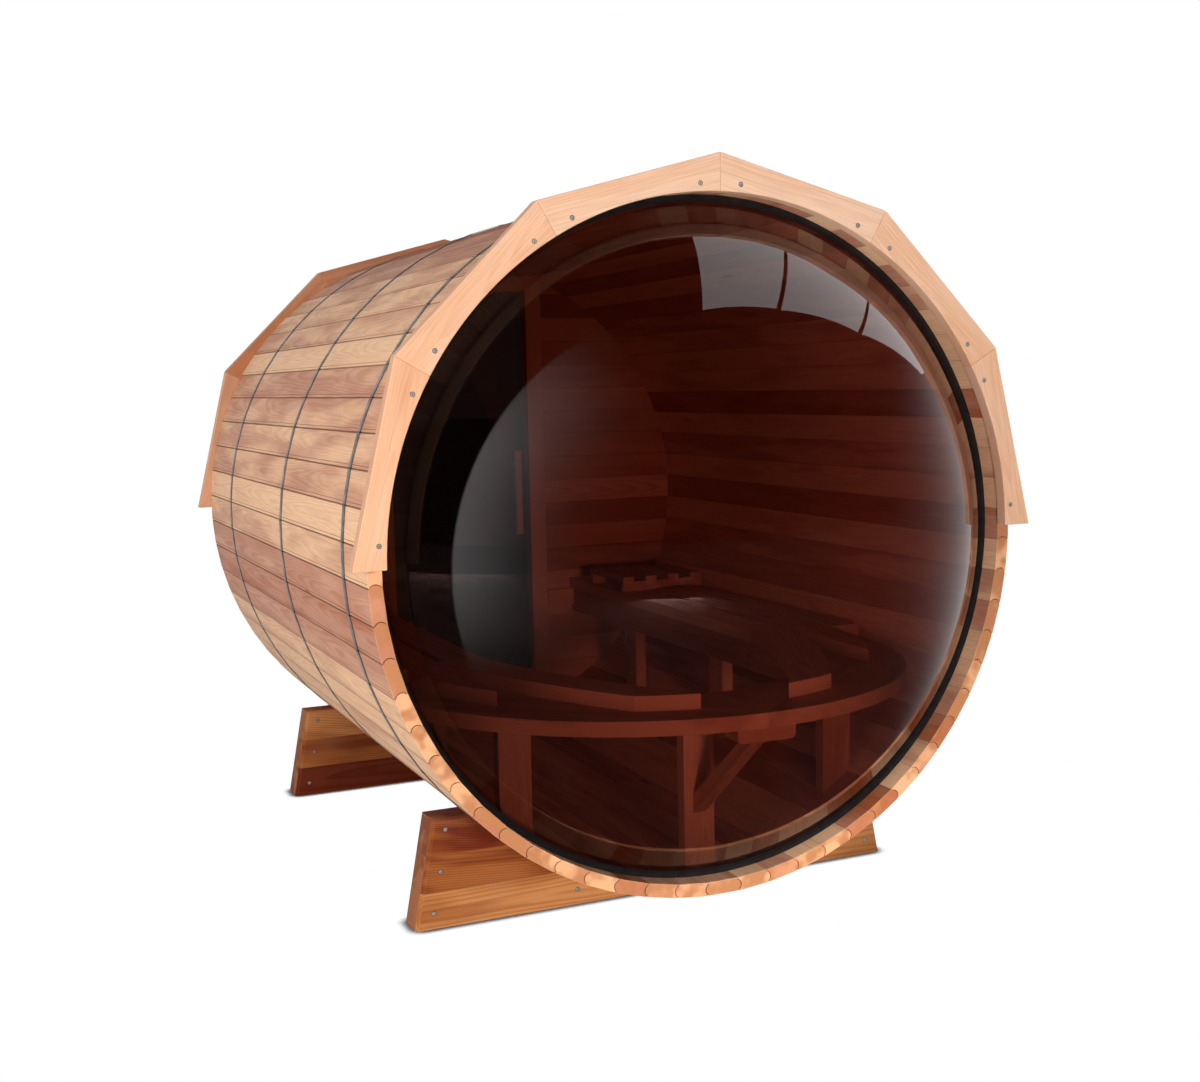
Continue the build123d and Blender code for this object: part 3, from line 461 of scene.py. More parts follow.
def boards_from(name: str, nodes: list[str], ease: float, seed: int, run: Run = Run.LONGEST,
                tones: tuple[float, ...] = ()) -> bpy.types.Object:
    """Copy packed boards into one mesh with eased edges and marked boards.

    Args:
        name: The new piece's name.
        nodes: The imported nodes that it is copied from.
        ease: How far each edge is eased.
        seed: Picks the boards' tones.
        run: How the boards run.
        tones: The boards' tones by their order from -X, or nothing for random ones.

    Returns:
        The new object, not yet dressed.
    """
    shape = bmesh.new()
    for node in nodes:
        shape.from_mesh(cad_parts[node].data)
    bmesh.ops.remove_doubles(shape, verts=shape.verts[:], dist=MERGE_DISTANCE)
    bmesh.ops.dissolve_limit(shape, angle_limit=radians(0.5), verts=shape.verts[:], edges=shape.edges[:])
    # Eased faces are marked edge for a painted highlight.
    edge_highlight_mark = shape.faces.layers.float.new("edge")
    if ease > 0:
        corners = [edge for edge in shape.edges if edge.is_manifold and edge.calc_face_angle(0.0) > SHARP]
        eased = bmesh.ops.bevel(shape, geom=corners, offset=ease, offset_type="OFFSET", segments=1,
                                affect="EDGES", clamp_overlap=True)
        for face in eased["faces"]:
            face[edge_highlight_mark] = 1.0
    bmesh.ops.triangulate(shape, faces=[face for face in shape.faces if len(face.verts) > 4])
    shape.normal_update()
    shape.faces.index_update()
    mark_boards(shape, seed, run, tones)
    return settle(name, shape)


def settle(name: str, shape: bmesh.types.BMesh) -> bpy.types.Object:
    """Turn a finished shape into an object, smooth except at its sharp edges."""
    mesh = bpy.data.meshes.new(name)
    shape.to_mesh(mesh)
    shape.free()
    stale = mesh.attributes.get("custom_normal")
    if stale is not None:
        mesh.attributes.remove(stale)
    mesh.shade_smooth()
    mesh.set_sharp_from_angle(angle=SHARP)
    return mesh_object(name, mesh)


def grow(name: str, tree: bpy.types.NodeTree, values: dict[str, object]) -> bpy.types.Object:
    """Run a geometry tree with named inputs and keep the result as a plain mesh.

    Args:
        name: The new piece's name.
        tree: The geometry tree.
        values: The tree's inputs by name.

    Returns:
        An object that holds the tree's mesh and no modifier.
    """
    carrier = mesh_object(name + ".carrier", bpy.data.meshes.new(name + ".carrier"))
    modifier = carrier.modifiers.new("Tree", "NODES")
    modifier.node_group = tree
    for item in tree.interface.items_tree:
        if item.item_type == "SOCKET" and item.in_out == "INPUT" and item.name in values:
            modifier[item.identifier] = values[item.name]
    evaluated = carrier.evaluated_get(bpy.context.evaluated_depsgraph_get())
    mesh = bpy.data.meshes.new_from_object(evaluated)
    mesh.name = name
    bpy.data.objects.remove(carrier)
    return mesh_object(name, mesh)


def stave_ring_tree() -> bpy.types.NodeTree:
    """One stave repeated round the barrel, each copy with its own tone and place in the log."""
    tree, graph, into, out = open_group("Stave ring", "GeometryNodeTree", [
        ("Stave", "INPUT", "NodeSocketObject", None), ("Count", "INPUT", "NodeSocketInt", 1),
        ("First Angle", "INPUT", "NodeSocketFloat", 0.0), ("Angle Step", "INPUT", "NodeSocketFloat", 0.0),
        ("Axis Height", "INPUT", "NodeSocketFloat", 1.0), ("Seed", "INPUT", "NodeSocketInt", 0),
        ("Finish", "INPUT", "NodeSocketMaterial", None), ("Geometry", "OUTPUT", "NodeSocketGeometry", None)])
    stave = graph.add("GeometryNodeObjectInfo", {"Object": into.outputs["Stave"], "As Instance": True})
    lift = graph.add("ShaderNodeCombineXYZ", {2: into.outputs["Axis Height"]}).outputs[0]
    line = graph.add("GeometryNodeMeshLine", {
        "Count": into.outputs["Count"], "Start Location": lift, "Offset": (0.0, 0.0, 0.0)})
    order = graph.add("GeometryNodeInputIndex").outputs[0]
    angle = graph.math("MULTIPLY_ADD", order, into.outputs["Angle Step"], into.outputs["First Angle"])
    spin = graph.add("ShaderNodeCombineXYZ", {1: angle}).outputs[0]
    ring = graph.add("GeometryNodeInstanceOnPoints", {
        "Points": line.outputs[0], "Instance": stave.outputs["Geometry"], "Rotation": spin}).outputs[0]
    tone = graph.add("FunctionNodeRandomValue", {"ID": order, "Seed": into.outputs["Seed"]}, data_type="FLOAT")
    tone = graph.math("POWER", tone.outputs[1], 1.5)
    ring = graph.add("GeometryNodeStoreNamedAttribute", {"Geometry": ring, "Name": "tone", "Value": tone},
                     data_type="FLOAT", domain="INSTANCE").outputs[0]
    place = graph.add("FunctionNodeRandomValue", {0: (-0.02, 0.0, 0.05), 1: (0.02, 30.0, 0.13), "ID": order,
                                                  "Seed": into.outputs["Seed"]}, data_type="FLOAT_VECTOR")
    ring = graph.add("GeometryNodeStoreNamedAttribute", {"Geometry": ring, "Name": "log_place",
                                                         "Value": place.outputs[0]},
                     data_type="FLOAT_VECTOR", domain="INSTANCE").outputs[0]
    solid = graph.add("GeometryNodeRealizeInstances", {0: ring}).outputs[0]
    own = graph.add("GeometryNodeInputNamedAttribute", {"Name": "board"}, data_type="FLOAT_VECTOR").outputs[0]
    moved = graph.add("GeometryNodeInputNamedAttribute", {"Name": "log_place"}, data_type="FLOAT_VECTOR").outputs[0]
    solid = graph.add("GeometryNodeStoreNamedAttribute", {"Geometry": solid, "Name": "board",
                                                          "Value": graph.vector("ADD", own, moved)},
                      data_type="FLOAT_VECTOR", domain="CORNER").outputs[0]
    dressed = graph.add("GeometryNodeSetMaterial", {0: solid, "Material": into.outputs["Finish"]}).outputs[0]
    graph.feed(out.inputs[0], dressed)
    return tree


def screw_tree() -> bpy.types.NodeTree:
    """A screw head at each marked place, facing out of the board and turned at random."""
    tree, graph, into, out = open_group("Screws", "GeometryNodeTree", [
        ("Places", "INPUT", "NodeSocketObject", None), ("Head", "INPUT", "NodeSocketObject", None),
        ("Head Radius", "INPUT", "NodeSocketFloat", 0.0045), ("Seed", "INPUT", "NodeSocketInt", 0),
        ("Finish", "INPUT", "NodeSocketMaterial", None), ("Geometry", "OUTPUT", "NodeSocketGeometry", None)])
    places = graph.add("GeometryNodeObjectInfo", {"Object": into.outputs["Places"]}).outputs["Geometry"]
    head = graph.add("GeometryNodeObjectInfo", {"Object": into.outputs["Head"], "As Instance": True})
    facing = graph.add("GeometryNodeInputNamedAttribute", {"Name": "facing"}, data_type="FLOAT_VECTOR").outputs[0]
    aligned = graph.add("FunctionNodeAlignRotationToVector", {"Vector": facing}, axis="Z").outputs[0]
    order = graph.add("GeometryNodeInputIndex").outputs[0]
    turn = graph.add("FunctionNodeRandomValue", {2: 0.0, 3: pi, "ID": order, "Seed": into.outputs["Seed"]},
                     data_type="FLOAT").outputs[1]
    spin = graph.add("FunctionNodeAxisAngleToRotation", {"Axis": (0.0, 0.0, 1.0), "Angle": turn}).outputs[0]
    rotation = graph.add("FunctionNodeRotateRotation", {0: aligned, 1: spin}, rotation_space="LOCAL").outputs[0]
    size = into.outputs["Head Radius"]
    scale = graph.add("ShaderNodeCombineXYZ", {0: size, 1: size, 2: size}).outputs[0]
    heads = graph.add("GeometryNodeInstanceOnPoints", {
        "Points": places, "Instance": head.outputs["Geometry"], "Rotation": rotation, "Scale": scale}).outputs[0]
    solid = graph.add("GeometryNodeRealizeInstances", {0: heads}).outputs[0]
    graph.feed(out.inputs[0], graph.add("GeometryNodeSetMaterial", {
        0: solid, "Material": into.outputs["Finish"]}).outputs[0])
    return tree


class Joint(Enum):
    """The two sides of a ball-and-cove joint, as the way that the side swells."""

    BALL = 1
    COVE = -1


@dataclass
class Staves:
    """The barrel's shell: ball-and-cove staves between a starter and a closing stave."""

    count: int = 64
    thickness: float = 0.035
    shoulder: float = 0.0035
    bulge: float = 0.0085
    ease: float = 0.002
    gap: float = 0.0008
    end_ease: float = 0.0025
    arc_steps: int = 8
    eased_lean: float = 0.3
    scribe_distance: float = 0.0085
    scribe_width: float = 0.0016
    scribe_depth: float = 0.0008
    seed: int = 153

    @property
    def half(self) -> float:
        """Half the angle that one stave fills."""
        return pi / self.count

    def side(self, hand: int, joint: Joint) -> list[Point]:
        """One side of a stave at the top of the barrel, from its outer to its inner face.

        Args:
            hand: 1 for the side towards +X and -1 for the other.
            joint: Whether the side is a ball or a cove.

        Returns:
            Points across and up from the barrel's axis.
        """
        outer = OUTER_RADIUS * cos(self.half)
        chord = (self.thickness - 2 * self.shoulder) / 2 / cos(self.half)
        radius = (chord ** 2 + self.bulge ** 2) / (2 * self.bulge)
        sweep = asin(chord / radius)

        def at(flat: float, away: float) -> Point:
            reach = flat / cos(self.half)
            offset = away - self.gap / 2
            return (hand * (reach * sin(self.half) + offset * cos(self.half)),
                    reach * cos(self.half) - offset * sin(self.half))

        points = [at(outer, -self.ease), at(outer - self.ease, 0)]
        if joint is Joint.COVE:
            line = self.scribe_distance
            far = line + self.scribe_width
            bottom = at(outer - self.scribe_depth, -(line + far) / 2)
            points = [at(outer, -far), bottom, at(outer, -line)] + points
        for step in range(self.arc_steps + 1):
            turn = sweep * (1 - 2 * step / self.arc_steps)
            swell = radius * cos(turn) - radius * cos(sweep)
            level = outer - self.thickness / 2 + radius * sin(turn) * cos(self.half)
            points.append(at(level, joint.value * swell))
        return points + [at(outer - self.thickness, 0)]

    def stave(self, name: str, left: Joint, right: Joint) -> bpy.types.Object:
        """One stave at the top of the barrel, with the board's own coordinates."""
        outline = self.side(-1, left) + self.side(1, right)[::-1]
        shape = bmesh.new()
        rings = [[shape.verts.new((x, y, z)) for x, z in outline] for y in (FRONT, BACK)]
        shape.faces.new(rings[0])
        shape.faces.new(rings[1][::-1])
        for number in range(len(outline)):
            following = (number + 1) % len(outline)
            shape.faces.new((rings[0][number], rings[1][number], rings[1][following], rings[0][following]))
        bmesh.ops.recalc_face_normals(shape, faces=shape.faces[:])
        shape.normal_update()
        edge_highlight_mark = shape.faces.layers.float.new("edge")
        joint_shade_mark = shape.faces.layers.float.new("joint")
        # Painted shade: the sides in the gap between staves are marked fully, the eased corners and the scribed groove
        # less.
        for face in shape.faces:
            lean = abs(face.normal.x) / max(abs(face.normal.z), MERGE_DISTANCE)
            if abs(face.normal.y) < 0.5 and lean > self.eased_lean:
                face[joint_shade_mark] = 1.0 if lean > 1 / self.eased_lean else 0.75
        rim = [edge for ring in rings for edge in {edge for vert in ring for edge in vert.link_edges}
               if abs(edge.verts[0].co.y - edge.verts[1].co.y) < MERGE_DISTANCE]
        eased = bmesh.ops.bevel(shape, geom=rim, offset=self.end_ease, segments=2, affect="EDGES",
                                clamp_overlap=True)
        shape.normal_update()
        middle = OUTER_RADIUS - self.thickness / 2
        for face in eased["faces"]:
            depth = abs(face.calc_center_median().z - middle)
            sideways = depth < self.thickness / 2 - self.end_ease
            # The end bevel's outer and inner rims are marked for a painted highlight.
            face[edge_highlight_mark] = 0.0 if sideways else 1.0
            # The end bevel's faces towards the neighbouring staves are marked for painted shade.
            face[joint_shade_mark] = 1.0 if sideways else 0.0
        bmesh.ops.triangulate(shape, faces=[face for face in shape.faces if len(face.verts) > 4])
        shape.normal_update()
        board = shape.loops.layers.float_vector.new("board")
        end = shape.faces.layers.float.new("end")
        for face in shape.faces:
            face[end] = 1.0 if abs(face.normal.y) > 0.8 else 0.0
            for loop in face.loops:
                loop[board] = loop.vert.co - Vector((0, 0, middle))
        return settle(name, shape)

    def build(self) -> None:
        """Repeat each kind of stave and join the rings into one shell."""
        tree = stave_ring_tree()
        finish = STAVE_CEDAR.material()
        step = 2 * self.half
        between = self.count // 2 - 1
        kinds = (("right", Joint.BALL, Joint.COVE, between, pi - step, -step),
                 ("left", Joint.COVE, Joint.BALL, between, pi + step, step),
                 ("starter", Joint.BALL, Joint.BALL, 1, pi, step),
                 ("closing", Joint.COVE, Joint.COVE, 1, 0.0, step))
        rings = []
        for number, (name, left, right, count, first, turn) in enumerate(kinds):
            stave = self.stave(name + "_stave", left, right)
            rings.append(grow(name + "_ring", tree, {
                "Stave": stave, "Count": count, "First Angle": first, "Angle Step": turn,
                "Axis Height": AXIS_HEIGHT, "Seed": self.seed + number, "Finish": finish}))
            bpy.data.objects.remove(stave)
        shell = join_pieces("barrel_shell", rings)
        finish_piece(shell, finish, "cabin", STAVE_NODES)


def join_pieces(name: str, pieces: list[bpy.types.Object]) -> bpy.types.Object:
    """Join meshes at the origin into one object."""
    with bpy.context.temp_override(active_object=pieces[0], selected_editable_objects=pieces):
        bpy.ops.object.join()
    pieces[0].name = name
    pieces[0].data.name = name
    return pieces[0]


def screw_head() -> bpy.types.Object:
    """A flat screw head of radius 1, with a square recess, facing up."""
    shape = bmesh.new()
    outline = ((1.45, -0.15), (1.40, 0.03), (1.0, 0.04), (1.0, 0.10), (0.86, 0.22), (0.40, 0.24), (0.34, 0.06))
    sides = 12
    rings = []
    for reach, level in outline:
        rings.append([shape.verts.new((reach * cos(2 * pi * k / sides), reach * sin(2 * pi * k / sides), level))
                      for k in range(sides)])
    for low, high in zip(rings, rings[1:]):
        for k in range(sides):
            shape.faces.new((low[k], low[(k + 1) % sides], high[(k + 1) % sides], high[k]))
    shape.faces.new(rings[-1])
    shape.faces.new(rings[0][::-1])
    bmesh.ops.recalc_face_normals(shape, faces=shape.faces[:])
    shape.normal_update()
    # The rim and the bottom of the recess are marked joint for painted shade.
    joint = shape.faces.layers.float.new("joint")
    for face in shape.faces:
        reach = face.calc_center_median().xy.length
        face[joint] = 1.0 if reach > 1.0 or reach < 0.37 else 0.0
    return settle("screw_head", shape)


@dataclass
class Fasteners:
    """The screws that show, placed where the boards that they hold need them."""

    trim_radius: float = 0.891
    trim_offset: float = 0.056
    cradle_rise: tuple[float, ...] = (0.042, 0.152, 0.264)
    cradle_reach: tuple[float, ...] = (0.673, 0.651, 0.634)
    sill_reach: float = 0.262
    stave_setback: float = 0.077
    head_radius: float = 0.0045
    cradle_head_radius: float = 0.0048
    seed: int = 5

    def trim_places(self) -> list[tuple[Vector, Vector]]:
        """A place at each end of each trim board, on both ends of the barrel."""
        places = []
        for plane, way in ((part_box("window_end_trim_right")[0].y, -1), (CAD_BOX[1].y - PLANED, 1)):
            for number in range(6):
                for corner, side in ((number, 1), (number + 1, -1)):
                    angle = radians(30 * corner) + side * self.trim_offset / self.trim_radius
                    where = Vector((self.trim_radius * cos(angle), plane,
                                    AXIS_HEIGHT + self.trim_radius * sin(angle)))
                    places.append((where, Vector((0, way, 0))))
        return places

    def cradle_places(self) -> list[tuple[Vector, Vector]]:
        """A place near each end of each course, on the faces that look along the barrel."""
        places = []
        for name in ("window_end_cradle_sill", "door_end_cradle_sill"):
            low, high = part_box(name)
            for plane, way in ((low.y, -1), (high.y, 1)):
                rises = self.cradle_rise + self.cradle_rise[:1]
                for rise, reach in zip(rises, self.cradle_reach + (self.sill_reach,)):
                    for side in (-1, 1):
                        places.append((Vector((side * reach, plane, rise)), Vector((0, way, 0))))
        return places

    def stave_places(self) -> list[tuple[Vector, Vector]]:
        """A place in the middle of each stave, over the end wall."""
        places = []
        flat = OUTER_RADIUS * cos(pi / 64)
        for number in range(64):
            angle = 2 * pi * number / 64 - pi / 2
            out = Vector((cos(angle), 0, sin(angle)))
            places.append((Vector((0, BACK - self.stave_setback, AXIS_HEIGHT)) + out * flat, out))
        return places

    def build(self) -> None:
        """Set each kind of screw with the same tree."""
        tree = screw_tree()
        finish = SCREW_STEEL.material()
        head = screw_head()
        kinds = (("trim_screws", self.trim_places(), self.head_radius),
                 ("cradle_screws", self.cradle_places(), self.cradle_head_radius),
                 ("stave_screws", self.stave_places(), self.head_radius))
        for number, (name, places, radius) in enumerate(kinds):
            marks = bpy.data.meshes.new(name + ".places")
            marks.from_pydata([tuple(where) for where, _ in places], [], [])
            facing = marks.attributes.new("facing", "FLOAT_VECTOR", "POINT")
            facing.data.foreach_set("vector", [value for _, way in places for value in way])
            carrier = mesh_object(name + ".places", marks)
            screws = grow(name, tree, {"Places": carrier, "Head": head, "Head Radius": radius,
                                       "Seed": self.seed + number, "Finish": finish})
            bpy.data.objects.remove(carrier)
            finish_piece(screws, finish, "cabin", [])
        bpy.data.objects.remove(head)


@dataclass
class BubbleWindow:
    """The blown acrylic dome with its flat flange, lathed finely so that it mirrors cleanly."""

    base_radius: float = 0.868
    skin: float = 0.008
    fillet: float = 0.006
    rings: int = 40
    sides: int = 192

    def outline(self) -> list[Point]:
        """Radius and depth along the skin, from the outer pole round the rim to the inner pole."""
        low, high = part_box("bubble_window")
        flange_front = high.y - self.skin
        bulge = flange_front - low.y
        radius = (self.base_radius ** 2 + bulge ** 2) / (2 * bulge)
        centre = low.y + radius
        rim = high.z - AXIS_HEIGHT

        def arc(reach: float, foot: float, count: int) -> list[Point]:
            sweep = asin(foot / reach)
            return [(reach * sin(sweep * k / count), centre - reach * cos(sweep * k / count))
                    for k in range(count + 1)]

        outer = arc(radius, self.base_radius - self.fillet, self.rings)
        outer += [(self.base_radius, flange_front - 0.002), (self.base_radius + self.fillet, flange_front)]
        inner_reach = radius - self.skin
        inner_foot = sqrt(inner_reach ** 2 - (centre - high.y) ** 2)
        inner = arc(inner_reach, inner_foot, self.rings)[::-1]
        return outer + [(rim, flange_front), (rim, high.y)] + inner

    def shade_ring_outline(self) -> list[Point]:
        """The section of a black ring of painted shade, in the corner between the staves and the dome's foot."""
        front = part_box("bubble_window")[1].y - self.skin
        wall = OUTER_RADIUS * cos(pi / 64) - 0.0353
        section = ((0.0, -0.0006), (0.0, -0.020), (0.0115, -0.021), (0.0177, -0.016), (0.0055, -0.003))
        return [(wall - inward, front + depth) for inward, depth in section]

    def build_shade_ring(self) -> None:
        """Lathe the black ring of painted shade about the barrel's axis."""
        shape = bmesh.new()
        turns = [2 * pi * k / self.sides for k in range(self.sides)]
        rings = [[shape.verts.new((reach * cos(turn), depth, AXIS_HEIGHT + reach * sin(turn))) for turn in turns]
                 for reach, depth in self.shade_ring_outline()]
        for low, high in zip(rings, rings[1:] + rings[:1]):
            for k in range(self.sides):
                following = (k + 1) % self.sides
                shape.faces.new((low[k], high[k], high[following], low[following]))
        bmesh.ops.recalc_face_normals(shape, faces=shape.faces[:])
        finish_piece(settle("window_seal", shape), BLACK_SHADE_RING.material(), "cabin", [])

    def build(self) -> None:
        """Lathe the dome about the barrel's axis and set the black ring of painted shade at its foot."""
        self.build_shade_ring()
        shape = bmesh.new()
        outline = self.outline()
        poles = [shape.verts.new((0, outline[0][1], AXIS_HEIGHT)), shape.verts.new((0, outline[-1][1], AXIS_HEIGHT))]
        rings = []
        for reach, depth in outline[1:-1]:
            rings.append([shape.verts.new((reach * cos(2 * pi * k / self.sides), depth,
                                           AXIS_HEIGHT + reach * sin(2 * pi * k / self.sides)))
                          for k in range(self.sides)])
        for k in range(self.sides):
            following = (k + 1) % self.sides
            shape.faces.new((poles[0], rings[0][k], rings[0][following]))
            shape.faces.new((poles[1], rings[-1][following], rings[-1][k]))
            for low, high in zip(rings, rings[1:]):
                shape.faces.new((low[k], high[k], high[following], low[following]))
        bmesh.ops.recalc_face_normals(shape, faces=shape.faces[:])
        dome = settle("bubble_window_dome", shape)
        finish_piece(dome, BRONZE_ACRYLIC.material(), "cabin", ["bubble_window"])


@dataclass
class Timber:
    """Every piece made of boards other than the staves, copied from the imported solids."""

    ease: float = 0.0015
    cradle_ease: float = 0.002
    seed: int = 30
    tones: dict[str, tuple[float, ...]] = field(default_factory=lambda: {
        "trim_rings": (0.58, 0.60, 0.45, 0.95, 0.20, 0.90, 0.10, 0.80, 0.35, 0.70, 0.25, 0.60),
        "window_end_cradle": (0.90, 0.66, 0.12, 0.90, 0.50), "door_end_cradle": (0.25, 0.62, 1.15, 0.30, 0.60)})

    def plane_outer_trim(self, trim: bpy.types.Object) -> None:
        """Take a shaving off the door-end trim, so that its screw heads stay inside the overall length."""
        for vertex in trim.data.vertices:
            if vertex.co.y > CAD_BOX[1].y - MERGE_DISTANCE:
                vertex.co.y -= PLANED

    def build(self) -> None:
        """Copy, ease, mark and dress each group of boards."""
        bench = [name for name in sorted(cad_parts) if name.startswith("bench") or name == "headrest"]
        trim = [name for name in sorted(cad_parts) if "trim" in name]
        groups = (
            ("trim_rings", trim, self.ease, Run.LONGEST, TRIM_CEDAR, "trim_cedar", "cabin"),
            ("window_end_cradle", ["window_end_cradle_sill", "window_end_cradle_blocks"], self.cradle_ease,
             Run.LONGEST, CRADLE_CEDAR, "cradle_cedar", "cabin"),
            ("door_end_cradle", ["door_end_cradle_sill", "door_end_cradle_blocks"], self.cradle_ease,
             Run.LONGEST, CRADLE_CEDAR, "cradle_cedar", "cabin"),
            ("benches", bench, self.ease, Run.LONGEST, BENCH_CEDAR, "bench_cedar", "cabin"),
            ("end_wall", ["end_wall_left", "end_wall_right", "end_wall_over_and_under_door"], 0.0,
             Run.ROWS, WALL_CEDAR, "wall_cedar", "cabin"),
            ("door_frame", ["door_posts", "door_head_and_sill"], self.ease, Run.LONGEST, WALL_CEDAR,
             "frame_cedar", "cabin"),
            ("door_handle_bars", ["door_handles"], 0.0, Run.LONGEST, BENCH_CEDAR, "handle_wood", "door"))
        for number, (name, nodes, ease, run, finish, slot, body) in enumerate(groups):
            piece = boards_from(name, nodes, ease, self.seed + number, run, self.tones.get(name, ()))
            if name == "trim_rings":
                self.plane_outer_trim(piece)
            finish_piece(piece, finish.material(), body, nodes)


def dress_packed_nodes() -> None:
    """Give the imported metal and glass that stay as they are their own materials."""
    steel, hinge, glass = BAND_STEEL.material(), HINGE_STEEL.material(), DOOR_GLASS.material()
    for name, material in (("window_end_band", steel), ("middle_band", steel), ("door_end_band", steel),
                           ("door_hinge_plates", hinge), ("door_hinge_clamps", hinge), ("door_glass", glass)):
        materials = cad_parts[name].data.materials
        materials.clear()
        materials.append(material)
        LOG.info("%s keeps its packed shape", name)


@dataclass(frozen=True)
class PhotoCamera:
    """The camera of the photograph, from a fit to the barrel's own edges."""

    position: tuple[float, float, float] = (-1.768, -4.163, 1.420)
    yaw: float = 23.790
    pitch: float = -6.098
    roll: float = -1.286
    lens: float = 44.22
    sensor: float = 36.0

    def build(self) -> None:
        """Place the camera and make it the scene's own."""
        yaw, pitch, roll = radians(self.yaw), radians(self.pitch), radians(self.roll)
        forward = Vector((sin(yaw) * cos(pitch), cos(yaw) * cos(pitch), sin(pitch)))
        level = Vector((cos(yaw), -sin(yaw), 0))
        lift = level.cross(forward)
        right = level * cos(roll) + lift * sin(roll)
        upward = lift * cos(roll) - level * sin(roll)
        data = bpy.data.cameras.new("photo_camera")
        data.sensor_fit = "HORIZONTAL"
        data.sensor_width = self.sensor
        data.lens = self.lens
        data.clip_end = 200
        camera = bpy.data.objects.new("photo_camera", data)
        bpy.context.scene.collection.objects.link(camera)
        turned = Matrix((right, upward, -forward)).transposed().to_4x4()
        turned.translation = Vector(self.position)
        camera.matrix_world = turned
        bpy.context.scene.camera = camera


@dataclass(frozen=True)
class Pane:
    """One lit window pane round the studio, by its corners' bearings as seen from the dome.

    Each corner is an angle from -Y towards +X and an angle above the level.
    """

    name: str
    corners: tuple[Point, Point, Point, Point]

    def build(self, centre: Vector, distance: float, material: bpy.types.Material) -> None:
        """Hang the pane so that only glossy surfaces show it."""
        shape = bmesh.new()
        places = []
        for bearing, rise in self.corners:
            turn, lift = radians(bearing), radians(rise)
            places.append(centre + distance * Vector((sin(turn) * cos(lift), -cos(turn) * cos(lift), sin(lift))))
        shape.faces.new([shape.verts.new(place) for place in places])
        pane = settle(self.name, shape)
        pane.data.materials.append(material)
        pane.visible_camera = False
        pane.visible_diffuse = False
        pane.visible_transmission = False
        pane.visible_shadow = False


WINDOW_PANES = (Pane("pane_first", ((105, 68), (108, 47), (66, 51), (34, 62))),
                Pane("pane_second", ((109, 46), (115, 27), (88, 33), (67, 50))),
                Pane("pane_third", ((114, 27), (125, 9), (106, 16), (89, 32))))


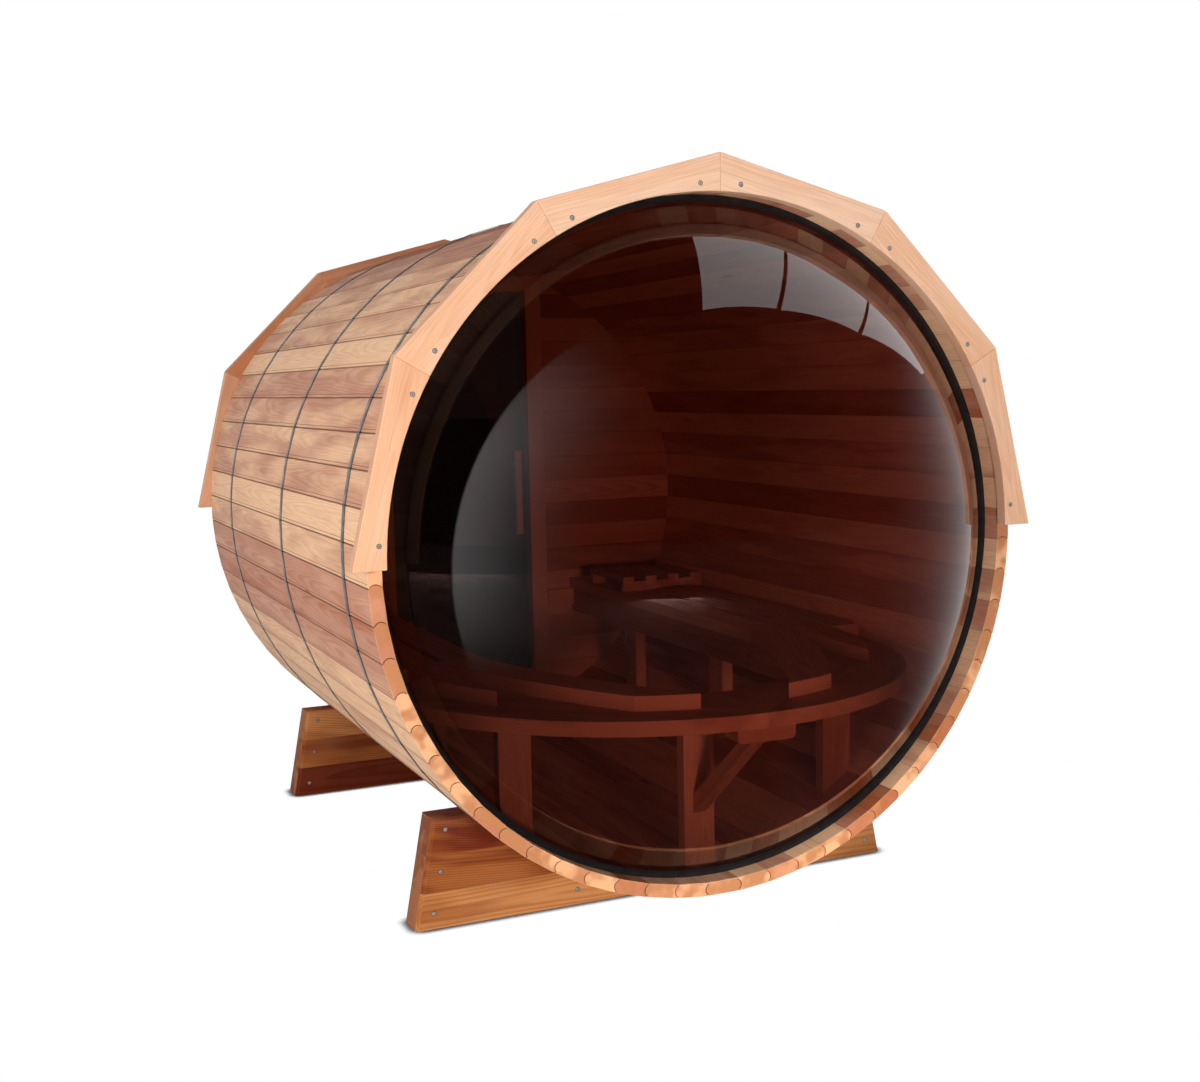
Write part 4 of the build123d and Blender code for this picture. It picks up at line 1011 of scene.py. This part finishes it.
@dataclass
class Studio:
    """A white floor, an even sky, one soft lamp and the panes that the dome mirrors."""

    floor_reach: float = 60.0
    contact_shadow_reach: float = 0.030
    sky: float = 0.42
    key_power: float = 425.0
    key_size: float = 3.5
    front_power: float = 95.0
    beam_power: float = 2.7
    beam_spread: float = radians(24)
    pane_distance: float = 80.0
    pane_strength: float = 1.75

    def glow(self, graph: Graph) -> Socket:
        """What the gloss shows of the studio: a sheet with a sharp edge to the left, and a wall to the right."""
        direction = graph.add("ShaderNodeTexCoord").outputs["Generated"]
        parts = graph.add("ShaderNodeSeparateXYZ", {0: direction}).outputs
        depth = graph.vector("DOT_PRODUCT", direction, (-0.083, 0.988, 0.131))
        edge = graph.fade(depth, -0.295, -0.275, 1.0, 0.0)
        spread = graph.math("POWER", graph.fade(depth, -1.0, -0.18, 0.0, 1.0), 2.2)
        left = graph.math("MULTIPLY", graph.math("MULTIPLY", edge, spread), graph.fade(parts[0], -0.5, -0.1, 1.0, 0.0))
        left = graph.math("MULTIPLY", left, graph.fade(parts[2], 0.35, 0.95, 1.0, 0.0))
        left = graph.math("MULTIPLY", left, graph.fade(parts[2], -0.64, -0.12, 0.0, 1.0))
        right = graph.math("POWER", graph.fade(parts[1], -0.80, 1.0), 2.0)
        right = graph.math("MULTIPLY", right, graph.fade(parts[0], 0.20, 0.50))
        right = graph.math("MULTIPLY", right, graph.fade(parts[2], 0.10, 0.45, 1.0, 0.0))
        right = graph.math("MULTIPLY", right, graph.fade(parts[2], -0.55, -0.15, 0.0, 1.0))
        behind = graph.math("MULTIPLY", graph.fade(parts[1], 0.55, 0.80), graph.fade(parts[0], -0.1, 0.35, 1.0, 0.0))
        seen = graph.math("MAXIMUM", graph.math("MULTIPLY", left, 1.55), graph.math("MULTIPLY", right, 1.25))
        return graph.math("MAXIMUM", seen, graph.math("MULTIPLY", behind, 0.9))

    def world(self) -> None:
        """White to the camera and through glass, even light on the wood, and sheets that the gloss shows."""
        world = bpy.data.worlds.new("studio")
        world.use_nodes = True
        bpy.context.scene.world = world
        graph = Graph(world.node_tree)
        plain = world.node_tree.nodes["Background"]
        rays = graph.add("ShaderNodeLightPath")
        glow = self.glow(graph)
        mirrored = graph.add("ShaderNodeCombineXYZ", {0: glow, 1: glow, 2: glow}).outputs[0]
        lit = (self.sky, self.sky, self.sky, 1.0)
        direct = graph.math("LESS_THAN", rays.outputs["Diffuse Depth"], 0.5)
        bounced = graph.math("GREATER_THAN", rays.outputs["Glossy Depth"], 0.5)
        shade = graph.blend(graph.math("MULTIPLY", bounced, direct), lit, mirrored)
        clear = graph.math("MAXIMUM", rays.outputs["Is Camera Ray"], rays.outputs["Is Transmission Ray"])
        clear = graph.math("MULTIPLY", clear, graph.math("SUBTRACT", direct, graph.math("MULTIPLY", bounced, direct)))
        graph.feed(plain.inputs["Color"], graph.blend(clear, shade, (1.0, 1.0, 1.0, 1.0)))

    def floor(self) -> None:
        """A floor that looks white to the camera down to a thin painted contact shadow, and doesn't show in the gloss.
        """
        material = bpy.data.materials.new("Floor")
        material.use_nodes = True
        material.node_tree.nodes.clear()
        graph = Graph(material.node_tree)
        near = graph.add("ShaderNodeAmbientOcclusion", {"Distance": self.contact_shadow_reach}, samples=4).outputs["AO"]
        # Painted shadow: the floor's emission is darkened by ambient occlusion near what stands on it.
        seen = graph.add("ShaderNodeEmission", {"Strength": graph.fade(near, 0.66, 0.96)})
        matt = graph.add("ShaderNodeBsdfDiffuse", {"Color": (0.50, 0.50, 0.50, 1.0)})
        shown = graph.add("ShaderNodeMixShader", {0: graph.add("ShaderNodeLightPath").outputs["Is Camera Ray"],
                                                  1: matt.outputs[0], 2: seen.outputs[0]})
        graph.add("ShaderNodeOutputMaterial", {"Surface": shown.outputs[0]})
        shape = bmesh.new()
        bmesh.ops.create_grid(shape, x_segments=2, y_segments=2, size=self.floor_reach)
        floor = settle("floor", shape)
        floor.data.materials.append(material)
        floor.visible_glossy = False

    def panes(self) -> None:
        """The three lit panes of a tall window, up to the right."""
        material = bpy.data.materials.new("Pane")
        material.use_nodes = True
        material.node_tree.nodes.clear()
        graph = Graph(material.node_tree)
        light = graph.add("ShaderNodeEmission", {"Strength": self.pane_strength})
        graph.add("ShaderNodeOutputMaterial", {"Surface": light.outputs[0]})
        centre = Vector((0, WINDOW_LOW.y, AXIS_HEIGHT))
        for pane in WINDOW_PANES:
            pane.build(centre, self.pane_distance, material)

    def lamp(self, name: str, size: float, power: float, where: Vector, target: Vector, spread: float = pi) -> None:
        """A soft square lamp that only lights, and doesn't show in the gloss."""
        data = bpy.data.lights.new(name, "AREA")
        data.shape = "SQUARE"
        data.size = size
        data.energy = power
        data.spread = spread
        lamp = bpy.data.objects.new(name, data)
        bpy.context.scene.collection.objects.link(lamp)
        lamp.location = where
        lamp.rotation_euler = (target - where).to_track_quat("-Z", "Y").to_euler()
        lamp.visible_camera = False
        lamp.visible_glossy = False
        lamp.visible_transmission = False

    def build(self) -> None:
        """Set the floor, sky, panes and lamps."""
        self.world()
        self.floor()
        self.panes()
        self.lamp("key", self.key_size, self.key_power, Vector((-6.8, -3.4, 0.7)), Vector((0, 0, 0.9)))
        self.lamp("front", 1.0, self.front_power, Vector((-0.6, -4.4, 0.5)), Vector((0, -1.0, 0.6)))
        self.lamp("beam", 0.3, self.beam_power, Vector((-0.5, -4.3, 0.85)), Vector((0.30, 0.10, 0.60)), self.beam_spread)
        bpy.context.scene.view_settings.view_transform = "Standard"


def main() -> None:
    """Build the camera, the studio and each part of the sauna in order."""
    logging.basicConfig(level=logging.INFO)
    PhotoCamera().build()
    Studio().build()
    for part in (Staves(), Timber(), BubbleWindow(), Fasteners()):
        part.build()
        LOG.info("%s is built", type(part).__name__)
    dress_packed_nodes()


if __name__ == "__main__":
    main()
